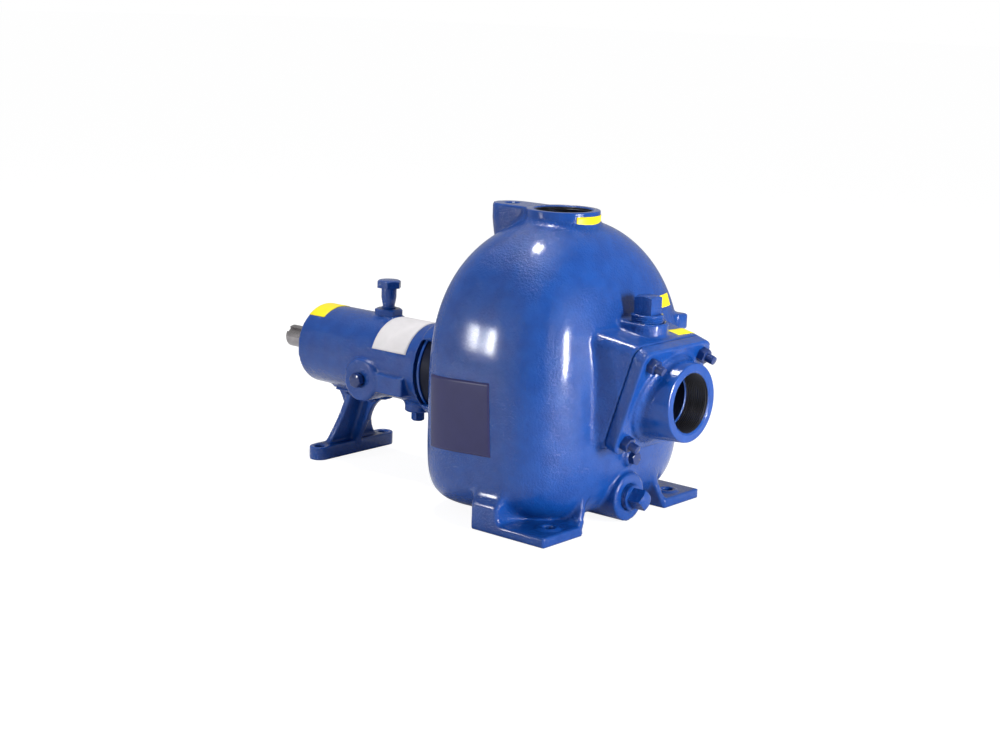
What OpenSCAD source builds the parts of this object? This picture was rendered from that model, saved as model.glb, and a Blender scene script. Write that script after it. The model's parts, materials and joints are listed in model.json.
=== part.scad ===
// Self-priming centrifugal trash pump on a bearing pedestal, bare shaft, 2 inch threaded ports.
// The origin is on the base plane, half way along the pump. +X is the suction end, +Z is up.

/* [Casing] */
// Depth of the casing shell, front to back
casing_l = 197; // [180:1:240]
// Width of the casing shell
casing_w = 267; // [250:1:325]
// Height of the shell's widest level above the base
casing_mid_z = 132.5; // [128:0.5:140]
// Height of the top of the dome
dome_top_z = 306.5; // [290:0.5:340]
// Height of the underside of the shell
casing_bottom_z = 4; // [3:0.5:12]
// Thickness of the cast walls
wall = 8; // [6:0.5:9]
// Squareness of the shell in plan (2 is round)
plan_power = 3.6; // [2.6:0.1:4]
// Squareness of the dome in elevation
dome_power = 2.4; // [2:0.1:2.8]
// Squareness of the lower half in elevation
belly_power = 4.4; // [3:0.1:5]

/* [Ports] */
// Wall radius of the 2 inch pipe thread
port_r = 30.2; // [25:0.1:33]
// Length of the pipe thread
port_thread_l = 27; // [20:1:30]
// Radius of the plain bore behind the thread
port_core_r = 27.5; // [22:0.5:29]
// Outer radius of the suction spout at its face
spout_r = 40.3; // [38:0.1:44]
// Outer radius of the discharge ring
ring_r = 38.5; // [37:0.1:44]
// Height of the discharge face
discharge_z = 315.5; // [300:0.5:350]
// Height of the suction axis
suction_z = 139; // [134:0.5:145]
// Distance from the flange's outer face to the suction face, on the suction axis
spout_l = 37; // [34:0.5:60]

/* [Suction box] */
// Lean of the flange joint from the vertical
flange_tilt = 18; // [12:1:20]
// Distance from the casing front to the flange's outer face, on the suction axis
flange_standout = 38.5; // [36:0.5:44]
// Side of the square flange
flange_side = 115; // [112:1:124]
// Corner radius of the flange
flange_corner_r = 12; // [8:1:14]
// Thickness of the flange
flange_t = 12.5; // [11:0.5:16]
// Thickness of the gaskets
gasket_t = 1.6; // [1:0.1:3]
// Distance from the flange centre to each stud, both ways
stud_offset = 43.5; // [42:0.5:46]
// Radius of the studs
stud_r = 4.7; // [4:0.1:6]
// Across-flats size of the flange nuts
nut_af = 14.3; // [13:0.1:17]
// Width of the box where it leaves the casing
box_w = 127; // [122:1:134]
// Height of the box top where it leaves the casing
box_top_z = 206; // [200:1:212]
// Height of the box underside
box_bottom_z = 87; // [84:1:92]
// Inside width of the suction chamber
chamber_w = 70; // [68:1:72]
// Height of the suction chamber's floor
chamber_low_z = 95; // [93:1:98]
// Height of the suction chamber's ceiling
chamber_top_z = 190; // [188:1:192]

/* [Feet] */
// Width over the casing feet
feet_w = 269; // [262:1:323]
// Length of each casing foot
foot_l = 94; // [88:1:100]
// Gap between the two casing feet
feet_gap = 149; // [140:1:156]
// Thickness of the casing feet
foot_t = 10.6; // [9:0.1:16]
// Height of the rear block of each foot
foot_block_h = 36; // [30:1:44]
// Spacing of the casing bolt holes
foot_hole_spacing = 205; // [198:1:212]
// Radius of every foot bolt hole
foot_hole_r = 6; // [4.5:0.5:7]

/* [Bearing housing] */
// Height of the shaft axis
shaft_z = 123.5; // [120:0.5:130]
// Outer radius of the housing tube
tube_r = 46; // [44:0.5:52]
// Radius of the bearing bores
bearing_r = 31; // [30:0.5:33]
// Width of each ball bearing
bearing_w = 16; // [14:0.5:18]
// Distance from the discharge axis to the tube's outer end
tube_reach = 346.5; // [330:0.5:360]
// Distance from the discharge axis to the shoulder where the bell begins
bell_reach = 158; // [154:0.5:164]
// Radius of the bracket flange
bracket_r = 80; // [78:0.5:84]
// Thickness of the bracket flange
bracket_t = 11; // [9:0.5:14]
// Number of bracket bolts
bracket_bolts_n = 8; // [6, 8]

/* [Shaft] */
// Distance from the discharge axis to the shaft's free end
shaft_reach = 400; // [385:1:420]
// Radius of the shaft's free end
stub_r = 12.7; // [10:0.1:14]
// Radius of the shaft in the bearings
journal_r = 15; // [14.5:0.1:16]
// Radius of the shaft inside the sleeve
sleeve_bore_r = 13; // [12:0.1:14]
// Radius of the impeller seat
impeller_seat_r = 11; // [9:0.1:11.5]
// Width of the coupling keyway
key_w = 6.4; // [5:0.1:8]
// Depth of the coupling keyway
key_d = 3.4; // [2:0.1:4]

/* [Impeller] */
// Radius of the impeller
impeller_r = 62; // [52:0.5:62.5]
// Height of the vanes
vane_h = 24; // [18:0.5:26]
// Thickness of the vanes
vane_t = 7; // [5:0.5:9]
// Thickness of the shroud
shroud_t = 6; // [4:0.5:8]
// Clearance in front of and behind the impeller
impeller_gap = 1; // [0.5:0.1:1.5]

/* [Pedestal] */
// Distance from the discharge axis to the pedestal bolt line
pedestal_reach = 301; // [290:1:310]
// Spacing of the pedestal bolt holes
pedestal_hole_spacing = 105; // [98:1:125]
// Width of the pedestal foot bar
bar_w = 23; // [20:1:28]
// Thickness of the pedestal foot bar
bar_t = 15.8; // [12:0.1:20]
// Length of the saddle under the housing
saddle_l = 91; // [84:1:100]
// Thickness of the pedestal ribs
rib_t = 8; // [6:0.5:9]

/* [Plugs] */
// Side of the fill plug's square head
fill_head = 20.6; // [16:0.1:24]
// Thread radius of the fill plug
fill_plug_r = 16.6; // [14:0.1:18]
// Side of the drain plug's square head
drain_head = 15.9; // [12:0.1:18]
// Thread radius of the drain plug
drain_plug_r = 13.3; // [11:0.1:15]
// Across-flats size of the small hex plugs
small_plug_af = 13.6; // [11:0.1:16]
// Thread radius of the small plugs
small_plug_r = 6.6; // [5:0.1:7.5]

/* [Hidden] */

$fn = 64;
cut = 1;                // how far a cut runs past a face
run = 0.05;             // radial clearance of a running or push fit
fit = 0.3;              // clearance between faces that must not touch
cast_blue = "#2a52a3";
steel = "#b9bcc0";
black_rubber = "#26262a";
brass = "#c2a052";

half_l = casing_l / 2;
half_w = casing_w / 2;
flange_reach = half_l + flange_standout;         // flange's outer face from the discharge axis
port_reach = flange_reach + spout_l;             // suction face from the discharge axis

// The origin sits half way between the shaft's free end and the suction face.
casing_x = (shaft_reach - port_reach) / 2;

// Levels along the shaft axis, measured from the discharge axis.
rear_pocket_u = -half_l + 15.5;                  // seat of the seal plate's flange
plate_t = 6;                                     // flange of the seal plate
opening_r = impeller_r + 2;                      // rear opening of the casing
plate_spigot_u = rear_pocket_u + wall;           // front face of the seal plate
shroud_u = plate_spigot_u + impeller_gap;        // back of the impeller
vane_u = shroud_u + shroud_t;                    // root of the vanes
vane_end_u = vane_u + vane_h;
impeller_hub_u = vane_u + vane_h * 0.6;          // seat of the impeller washer
washer_r = 17;
impeller_screw_r = 4;
wear_t = 5;
wear_u = vane_end_u + impeller_gap;              // back of the wear plate
volute_front_u = wear_u + wear_t;                // back of the volute's front wall
volute_r = impeller_r + 14;
eye_r = port_core_r + 1;
wear_screw_r = 2.5;
wear_screw_circle_r = impeller_r + 4;
bracket_u = rear_pocket_u - plate_t - gasket_t;  // front face of the bracket flange
bracket_back_u = bracket_u - bracket_t;
bolt_circle_r = bracket_r - 8;
bolt_r = 4;
bolt_af = 13;
hub_r = 50;                                      // seal housing behind the seal plate
bell_in_r = hub_r + 2;                           // inside of the bell round it
hub_end_u = -bell_reach + 8;
seal_bore_r = 34;

// Bearings and seals in the housing tube, from the free end inwards.
lip_seal_w = 8;
ring_w = 2;
outer_seal_u = -tube_reach + 1;
outer_ring_u = outer_seal_u + lip_seal_w;
outer_bearing_u = outer_ring_u + ring_w;
inner_seal_u = -bell_reach - 1 - lip_seal_w;
inner_ring_u = inner_seal_u - ring_w;
inner_bearing_u = inner_ring_u - bearing_w;
bearing_us = [outer_bearing_u, inner_bearing_u];
sump_r = bearing_r + 2;
ball_r = 0.3 * (bearing_r - journal_r);
ball_pitch_r = (bearing_r + journal_r) / 2;
race_gap = 0.46 * ball_r * 2;                    // half the space between the races
ball_n = 9;
cage_w = 2 * ball_r + 3;

// Suction flange frame.
flange_back_n = -flange_t;
box_face_n = flange_back_n - gasket_t;
pin_t = 38;                                      // check valve pin above the flange centre
pin_n = box_face_n - 7;                          // and behind the flange face
pin_r = 3;
ear_y = 21;                                      // outer face of the valve's lug
flap_r = port_core_r + 4;
flap_t = 5;
seat_gap = 0.3;

// Fill boss on top of the box.
fill_u = half_l + 14;
fill_boss_r = fill_plug_r + 5;
fill_boss_z = box_top_z + 8;
fill_thread_l = 22;
passage_wall = wall - 2;                         // wall of the suction passage inside the box

// Bosses low on the casing front.
drain_z = 28;
drain_u = half_l + 3.5;
drain_boss_r = drain_plug_r + 12.2;
side_plug_z = 70;
side_plug_u = half_l + 7;
side_boss_r = small_plug_r + 2.6;

// Lifting lug behind the discharge ring.
lug_u = -69;
lug_r = 20.5;
lug_hole_r = 7.5;
lug_hole_l = 30;
lug_t = 16;

// Bosses on the bearing housing.
level_u = -240;
level_z = shaft_z - 20.8;
level_r = 24.2;
level_y = -51.8;
pad_end_u = -178;
pad_h = 20;
pad_y = -50;
vent_u = -246;
vent_boss_z = shaft_z + tube_r + 0.5;
vent_hex_af = 25.4;
vent_hex_h = 10.5;
vent_bore_r = 8;
vent_neck_r = 5.6;
vent_top_r = 8.4;
vent_column_h = 21;
vent_cap_af = 22.4;
vent_cap_h = 9.5;
oil_drain_u = -197;
oil_drain_r = 7;
oil_drain_head = 11.1;
oil_drain_boss_z = shaft_z - tube_r - 11;
saddle_z = shaft_z - tube_r - 1.5;               // flat joint under the tube
saddle_u = -283;
saddle_w = 40;
saddle_t = 8;
saddle_screw_r = 3.5;
saddle_screw_af = 11;
saddle_screw_inset = 11;

module at_u(u = 0, z = 0) { translate([casing_x + u, 0, z]) children(); }

// A cylinder along X from u0 to u1 about the shaft axis.
module x_rod(u0, u1, r, r2 = -1, z = shaft_z) {
    at_u(u0, z) rotate([0, 90, 0]) cylinder(h = u1 - u0, r1 = r, r2 = r2 < 0 ? r : r2);
}

module x_ring(u0, u1, r_out, r_in, z = shaft_z) {
    difference() {
        x_rod(u0, u1, r_out, z = z);
        x_rod(u0 - cut, u1 + cut, r_in, z = z);
    }
}

// A hexagonal or square bar standing on the XY plane.
module hex_bar(af, h) { cylinder(h = h, r = af / sqrt(3), $fn = 6); }
module square_bar(side, h) { translate([-side / 2, -side / 2, 0]) cube([side, side, h]); }

module rounded_square(w, h, r) {
    for (sx = [-1, 1], sy = [-1, 1])
        translate([sx * (w / 2 - r), sy * (h / 2 - r)]) circle(r);
    square([w - 2 * r, h], center = true);
    square([w, h - 2 * r], center = true);
}

// The flange frame: local X leaves the flange's outer face, local Z runs up the joint plane.
module flange_frame() {
    at_u(flange_reach, suction_z) rotate([0, flange_tilt, 0]) children();
}

// A flat plate in the flange frame between two levels of its normal.
module flange_plate(n0, n1) {
    translate([n0, 0, 0]) rotate([90, 0, 90]) linear_extrude(n1 - n0) children();
}

module at_studs() {
    for (sy = [-1, 1], sz = [-1, 1])
        translate([0, sy * stud_offset, sz * stud_offset]) rotate([0, 90, 0]) children();
}

// Egg-shaped shell: a superellipse in plan whose size follows a superellipse in height.
function signed_pow(v, e) = sign(v) * pow(abs(v), e);
function egg_power(f, p) = f > 0 ? p + (2.1 - p) * f * f : p;
function egg_ring(a, b, zc, c, q, lat, n, p) =
    let (s = pow(cos(lat), 2 / q), f = signed_pow(sin(lat), 2 / q), e = 2 / egg_power(f, p))
    [for (i = [0 : n - 1]) [a * s * signed_pow(cos(360 * i / n), e),
                            b * s * signed_pow(sin(360 * i / n), e), zc + c * f]];
module egg(a, b, zc, up, down, n, rings) {
    step = 90 / rings;
    lower = [for (k = [1 : rings - 1])
        each egg_ring(a, b, zc, down, belly_power, -90 + k * step, n, plan_power)];
    upper = [for (k = [0 : rings - 1])
        each egg_ring(a, b, zc, up, dome_power, k * step, n, plan_power)];
    points = concat([[0, 0, zc - down]], lower, upper, [[0, 0, zc + up]]);
    levels = 2 * rings - 1;
    last = levels * n + 1;
    polyhedron(points, concat(
        [for (i = [0 : n - 1]) [0, 1 + i, 1 + (i + 1) % n]],
        [for (k = [0 : levels - 2], i = [0 : n - 1])
            [1 + k * n + i, 1 + (k + 1) * n + i, 1 + (k + 1) * n + (i + 1) % n,
             1 + k * n + (i + 1) % n]],
        [for (i = [0 : n - 1])
            [last, 1 + (levels - 1) * n + (i + 1) % n, 1 + (levels - 1) * n + i]]));
}

module shell_outside() {
    at_u() egg(half_l, half_w, casing_mid_z, dome_top_z - casing_mid_z,
        casing_mid_z - casing_bottom_z, 48, 9);
}

module shell_inside() {
    at_u() egg(half_l - wall, half_w - wall, casing_mid_z,
        dome_top_z - casing_mid_z - wall, casing_mid_z - casing_bottom_z - wall, 40, 7);
}

// Tapered box from inside the shell to the flange joint.
module suction_box_body() {
    box_root_u = half_l - 30;
    hull() {
        flange_frame() flange_plate(box_face_n - 1, box_face_n)
            rounded_square(flange_side, flange_side, flange_corner_r, $fn = 32);
        at_u(box_root_u, (box_top_z + box_bottom_z) / 2) rotate([90, 0, 90]) linear_extrude(1)
            rounded_square(box_w + 6, box_top_z - box_bottom_z + 8, flange_corner_r + 4, $fn = 32);
    }
}

// Fore-and-aft passage that starts at the volute's front wall.
module suction_passage(extra, end_u) {
    h = chamber_top_z - chamber_low_z + 2 * extra;
    start_u = volute_front_u + wall - extra;
    at_u(start_u, (chamber_top_z + chamber_low_z) / 2) rotate([90, 0, 90])
        linear_extrude(end_u - start_u) rounded_square(chamber_w + 2 * extra, h, 10 + extra);
}

module casing_foot() {
    foot_w = (feet_w - feet_gap) / 2;
    front_u = half_l - 1.5;
    block_l = 34;
    curve_r = 12;
    block_u = front_u - foot_l;
    translate([0, feet_gap / 2, 0]) {
        at_u(block_u) cube([foot_l, foot_w, foot_t]);
        // rear block with a concave run-out onto the pad
        at_u(block_u) rotate([90, 0, 0]) translate([0, 0, -foot_w]) linear_extrude(foot_w) {
            square([block_l, foot_block_h]);
            difference() {
                square([block_l + curve_r, foot_t + curve_r]);
                translate([block_l + curve_r, foot_t + curve_r]) circle(curve_r);
            }
        }
        // inner web
        at_u(block_u) cube([foot_l, rib_t, foot_block_h]);
        // leaning front rib under the shell
        at_u(front_u - rib_t) rotate([90, 0, 90]) linear_extrude(rib_t)
            polygon([[0, 0], [rib_t, 0], [rib_t, foot_t], [-6, foot_block_h + 8],
                [-16, foot_block_h + 8]]);
    }
}

module casing() {
    lug_web = 24;
    color(cast_blue) difference() {
        union() {
            difference() {
                union() {
                    shell_outside();
                    suction_box_body();
                }
                shell_inside();
            }
            suction_passage(passage_wall, half_l - 2);
            // volute case and rear pad
            x_rod(rear_pocket_u, volute_front_u + wall, volute_r + wall);
            x_rod(-half_l + 6.5, rear_pocket_u + cut, bracket_r + 8);
            for (s = [0, 1]) mirror([0, s, 0]) casing_foot();
            // discharge ring and lifting lug
            at_u(0, dome_top_z - 3 * wall) cylinder(h = discharge_z - dome_top_z + 3 * wall,
                r = ring_r);
            at_u(0, discharge_z - lug_t) linear_extrude(lug_t) {
                translate([lug_u, 0]) circle(lug_r);
                translate([lug_u, -lug_r]) square([-lug_u, 2 * lug_r]);
            }
            at_u() translate([0, lug_web / 2, 0]) rotate([90, 0, 0]) linear_extrude(lug_web)
                polygon([[lug_u - lug_r + 1, discharge_z - lug_t], [0, discharge_z - lug_t],
                    [0, dome_top_z - wall], [lug_u, dome_top_z - 52]]);
            // fill boss
            at_u(fill_u, box_top_z - 14) linear_extrude(fill_boss_z - box_top_z + 14) {
                circle(fill_boss_r);
                translate([-24, -fill_boss_r]) square([24, 2 * fill_boss_r]);
            }
            x_rod(half_l - 45, drain_u, drain_boss_r, z = drain_z);
            x_rod(half_l - wall - 2, side_plug_u, side_boss_r, z = side_plug_z);
        }
        // discharge port
        at_u(0, discharge_z - port_thread_l) cylinder(h = port_thread_l + cut, r = port_r);
        at_u(0, dome_top_z - 5 * wall) cylinder(h = 5 * wall, r = port_core_r);
        // suction passage and impeller eye
        suction_passage(0, flange_reach + 40);
        x_rod(volute_front_u - cut, volute_front_u + wall + cut, eye_r);
        // volute and rear opening
        x_rod(plate_spigot_u, volute_front_u, volute_r);
        x_rod(rear_pocket_u - cut, plate_spigot_u + cut, opening_r);
        x_rod(-half_l - 20, rear_pocket_u, bracket_r + fit);
        // throat from the volute up into the priming chamber
        at_u(vane_u, shaft_z) translate([0, -volute_r * 0.8, 0])
            cube([vane_h - 4, 34, volute_r + wall + 12]);
        // threaded holes
        at_u(lug_u, discharge_z - lug_hole_l) cylinder(h = lug_hole_l + cut, r = lug_hole_r);
        at_u(fill_u, fill_boss_z - fill_thread_l) cylinder(h = fill_thread_l + cut,
            r = fill_plug_r + run);
        at_u(fill_u, suction_z) cylinder(h = fill_boss_z - suction_z, r = fill_plug_r - 2);
        x_rod(drain_u - 20, drain_u + cut, drain_plug_r + run, z = drain_z);
        x_rod(half_l - 50, drain_u, drain_plug_r - 3, z = drain_z);
        x_rod(side_plug_u - 12, side_plug_u + cut, small_plug_r + run, z = side_plug_z);
        x_rod(half_l - 30, side_plug_u, small_plug_r - 2, z = side_plug_z);
        for (sy = [-1, 1]) translate([0, sy * foot_hole_spacing / 2, -cut]) at_u(half_l - 21)
            cylinder(h = foot_t + 2 * cut, r = foot_hole_r);
        flange_frame() translate([box_face_n - 16, 0, 0]) at_studs()
            cylinder(h = 17, r = stud_r + run);
        at_bracket_bolts(rear_pocket_u - cut) cylinder(h = 17, r = bolt_r + run);
        at_wear_screws(volute_front_u - cut)
            cylinder(h = wall + 2 * cut, r = wear_screw_r + run);
    }
}

module at_bracket_bolts(u) {
    for (i = [0 : bracket_bolts_n - 1])
        at_u(u, shaft_z) rotate([360 / bracket_bolts_n * (i + 0.5), 0, 0])
            translate([0, 0, bolt_circle_r]) rotate([0, 90, 0]) children();
}

// The wear plate's screws stand clear of the suction passage, two on each side.
module at_wear_screws(u) {
    for (a = [65, 115, 245, 295]) at_u(u, shaft_z) rotate([a, 0, 0])
        translate([0, 0, wear_screw_circle_r]) rotate([0, 90, 0]) children();
}

module fill_plug() {
    color(cast_blue) at_u(fill_u, fill_boss_z) {
        translate([0, 0, 5 - fill_thread_l]) cylinder(h = fill_thread_l, r = fill_plug_r);
        translate([0, 0, 5]) cylinder(h = 2.5, r1 = fill_plug_r, r2 = fill_plug_r - 2);
        translate([0, 0, 7]) square_bar(fill_head, 19);
    }
}

module drain_plug() {
    thread_l = 18;
    color(cast_blue) {
        x_rod(drain_u - thread_l + 5, drain_u + 5, drain_plug_r, z = drain_z);
        at_u(drain_u + 4, drain_z) rotate([0, 90, 0]) rotate(45) square_bar(drain_head, 17);
    }
}

module side_plug() {
    color(cast_blue) {
        x_rod(side_plug_u - 10, side_plug_u + 2, small_plug_r, z = side_plug_z);
        at_u(side_plug_u + 1, side_plug_z) rotate([0, 90, 0]) hex_bar(small_plug_af, 8);
    }
}

module suction_flange() {
    pad_r = spout_r + 8;
    color(cast_blue) difference() {
        union() {
            flange_frame() flange_plate(flange_back_n, 0)
                rounded_square(flange_side, flange_side, flange_corner_r);
            flange_frame() rotate([0, 90, 0]) cylinder(h = 3, r = pad_r);
            // spout, trimmed to the joint side of the plate
            intersection() {
                x_rod(flange_reach - 20, port_reach, spout_r + 3.5, spout_r, z = suction_z);
                flange_frame() translate([flange_back_n + cut, -100, -100])
                    cube([200, 200, 200]);
            }
            // ears for the check valve pin
            flange_frame() for (s = [-1, 1])
                translate([pin_n - 5.5, s * (ear_y + 4.3) - 4, pin_t - 6])
                    cube([flange_back_n - pin_n + 6.5, 8, 11.5]);
        }
        x_rod(port_reach - port_thread_l, port_reach + cut, port_r, z = suction_z);
        x_rod(flange_reach - 60, port_reach, port_core_r, z = suction_z);
        flange_frame() translate([flange_back_n - cut, 0, 0]) at_studs()
            cylinder(h = flange_t + 2 * cut, r = stud_r + fit);
        flange_frame() translate([pin_n, 40, pin_t]) rotate([90, 0, 0])
            cylinder(h = 80, r = pin_r + run);
    }
}

module suction_gasket() {
    color(black_rubber) flange_frame() difference() {
        flange_plate(box_face_n, flange_back_n)
            rounded_square(flange_side, flange_side, flange_corner_r);
        flange_plate(box_face_n - cut, flange_back_n + cut)
            rounded_square(chamber_w, flange_side - 2 * wall, 10);
        translate([box_face_n - cut, 0, 0]) at_studs()
            cylinder(h = gasket_t + 2 * cut, r = stud_r + fit);
    }
}

module flange_studs() {
    color(steel) flange_frame() translate([box_face_n - 14, 0, 0]) at_studs()
        cylinder(h = 14 - box_face_n + 17, r = stud_r);
}

module flange_nuts() {
    color(steel) flange_frame() at_studs() difference() {
        hex_bar(nut_af, 8);
        translate([0, 0, -cut]) cylinder(h = 8 + 2 * cut, r = stud_r + run);
    }
}

// The check valve hangs on its pin and rests on the back of the flange.
module check_valve_flap() {
    color(black_rubber) flange_frame() difference() {
        union() {
            translate([flange_back_n - seat_gap - flap_t, 0, 0]) rotate([0, 90, 0])
                cylinder(h = flap_t, r = flap_r);
            translate([flange_back_n - seat_gap - flap_t, -ear_y + fit, 0])
                cube([flap_t, 2 * (ear_y - fit), pin_t - 6]);
            translate([pin_n, 0, pin_t]) rotate([90, 0, 0])
                cylinder(h = 2 * (ear_y - fit), r = pin_r + 2.5, center = true);
            translate([pin_n - 2, -ear_y + fit, pin_t - 12])
                cube([flange_back_n - seat_gap - pin_n + 2, 2 * (ear_y - fit), 10]);
        }
        translate([pin_n, 0, pin_t]) rotate([90, 0, 0])
            cylinder(h = 80, r = pin_r + run, center = true);
        translate([flange_back_n - 20, 0, 0]) rotate([0, 90, 0]) cylinder(h = 30, r = 3 + run);
    }
}

module check_valve_weight() {
    weight_n = flange_back_n - seat_gap - flap_t;
    color(steel) flange_frame() difference() {
        translate([weight_n - 6, 0, 0]) rotate([0, 90, 0]) cylinder(h = 6, r = flap_r - 9);
        translate([weight_n - 10, 0, 0]) rotate([0, 90, 0]) cylinder(h = 30, r = 3 + run);
    }
}

module check_valve_screw() {
    weight_back_n = flange_back_n - seat_gap - flap_t - 6;
    color(steel) flange_frame() rotate([0, 90, 0]) {
        translate([0, 0, weight_back_n]) cylinder(h = flap_t + 6, r = 3);
        translate([0, 0, weight_back_n - 5]) hex_bar(11, 5);
        translate([0, 0, weight_back_n + flap_t + 6]) cylinder(h = 3, r = 7);
    }
}

module check_valve_pin() {
    color(steel) flange_frame() translate([pin_n, 0, pin_t]) rotate([90, 0, 0])
        cylinder(h = 2 * (ear_y + 8.3), r = pin_r, center = true);
}

module wear_plate() {
    color(steel) difference() {
        x_ring(wear_u, volute_front_u, volute_r - 2, eye_r);
        at_wear_screws(wear_u - cut) cylinder(h = wear_t + 2 * cut, r = wear_screw_r + run);
    }
}

module wear_plate_screws() {
    color(steel) at_wear_screws(wear_u + 0.5) {
        cylinder(h = wear_t + wall - 0.5, r = wear_screw_r);
        translate([0, 0, wear_t + wall - 0.5]) hex_bar(8, 4);
    }
}

// Two-vane open impeller: the vanes are wide spiral arcs from the hub to the rim.
module impeller() {
    vane_arc_r = impeller_r * 0.62;
    color(cast_blue) difference() {
        union() {
            x_rod(shroud_u, vane_u, impeller_r);
            x_rod(vane_u, impeller_hub_u, 22, 18);
            intersection() {
                at_u(vane_u - cut, shaft_z) for (a = [0, 180]) rotate([a, 0, 0])
                    rotate([90, 0, 90]) linear_extrude(vane_h + cut)
                        translate([vane_arc_r - 8, 0]) difference() {
                            circle(vane_arc_r);
                            circle(vane_arc_r - vane_t);
                            translate([-100, -200]) square([200, 200]);
                        }
                x_rod(shroud_u, vane_end_u, impeller_r);
            }
        }
        x_rod(shroud_u - cut, vane_end_u + cut, impeller_seat_r + run);
        x_rod(impeller_hub_u, vane_end_u + cut, washer_r + 1);
    }
}

module impeller_washer() {
    color(steel) x_ring(impeller_hub_u, impeller_hub_u + 3, washer_r, impeller_screw_r + run);
}

module impeller_screw() {
    color(steel) {
        x_rod(impeller_hub_u - 20, impeller_hub_u + 3, impeller_screw_r);
        at_u(impeller_hub_u + 3, shaft_z) rotate([0, 90, 0]) hex_bar(13, 6);
    }
}

module shaft() {
    key_l = 45;
    color(steel) difference() {
        union() {
            x_rod(-shaft_reach, 1 - shaft_reach, stub_r - 1, stub_r);
            x_rod(1 - shaft_reach, -tube_reach, stub_r);
            x_rod(-tube_reach, -bell_reach, journal_r);
            x_rod(-bell_reach, shroud_u, sleeve_bore_r);
            x_rod(shroud_u, impeller_hub_u - 0.5, impeller_seat_r);
        }
        at_u(-shaft_reach - cut, shaft_z) rotate([-45, 0, 0])
            translate([0, -stub_r - cut, -key_w / 2]) cube([key_l + cut, key_d + cut, key_w]);
        x_rod(impeller_hub_u - 22, impeller_hub_u, impeller_screw_r + run);
    }
}

sleeve_r = sleeve_bore_r + 4;

module shaft_sleeve() {
    color(steel) x_ring(hub_end_u + 3, shroud_u, sleeve_r, sleeve_bore_r + run);
}

// Mechanical seal: the seat stays in the plate, the ring and bellows turn with the sleeve.
seat_u = plate_spigot_u - 9;
seal_face_u = seat_u - fit;

module seal_seat() {
    color("#8a8578") x_ring(seat_u, plate_spigot_u - 1, sleeve_r + 8, sleeve_r + 1.5);
}

module seal_ring() {
    color("#3c3d40") x_ring(seal_face_u - 8, seal_face_u, sleeve_r + 6, sleeve_r + run);
}

module seal_bellows() {
    folds = 3;
    pitch = 6;
    color(black_rubber) for (i = [0 : folds - 1]) {
        start_u = seal_face_u - 8 - (i + 1) * pitch;
        x_ring(start_u, start_u + pitch / 2, sleeve_r + 8, sleeve_r + run);
        x_ring(start_u + pitch / 2, start_u + pitch, sleeve_r + 4, sleeve_r + run);
    }
}

module seal_plate() {
    color(cast_blue) difference() {
        union() {
            x_rod(rear_pocket_u - plate_t, rear_pocket_u, bracket_r);
            x_rod(rear_pocket_u - cut, plate_spigot_u, opening_r - fit);
            x_rod(hub_end_u, rear_pocket_u - plate_t + cut, hub_r);
        }
        x_rod(hub_end_u + 10, seat_u, seal_bore_r);
        x_rod(seat_u - cut, plate_spigot_u - 1, sleeve_r + 8 + run);
        x_rod(hub_end_u - cut, plate_spigot_u + cut, sleeve_r + 1.5);
        x_rod(hub_end_u - cut, hub_end_u + 8, sleeve_r + 9);
        at_bracket_bolts(rear_pocket_u - plate_t - cut)
            cylinder(h = plate_t + 2 * cut, r = bolt_r + fit);
    }
}

module seal_plate_gasket() {
    color(black_rubber) difference() {
        x_ring(bracket_u, rear_pocket_u - plate_t, bracket_r, hub_r + 2);
        at_bracket_bolts(bracket_u - cut) cylinder(h = gasket_t + 2 * cut, r = bolt_r + fit);
    }
}

module seal_housing_lip_seal() {
    color(black_rubber) x_ring(hub_end_u + 0.5, hub_end_u + 7.5, sleeve_r + 9 - run,
        sleeve_r + fit);
}

module slinger() {
    color(black_rubber) {
        x_ring(-bell_reach + 1, -bell_reach + 3, 25, sleeve_bore_r + run);
        x_ring(-bell_reach + 3, -bell_reach + 7, 18, sleeve_bore_r + run);
    }
}

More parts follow.
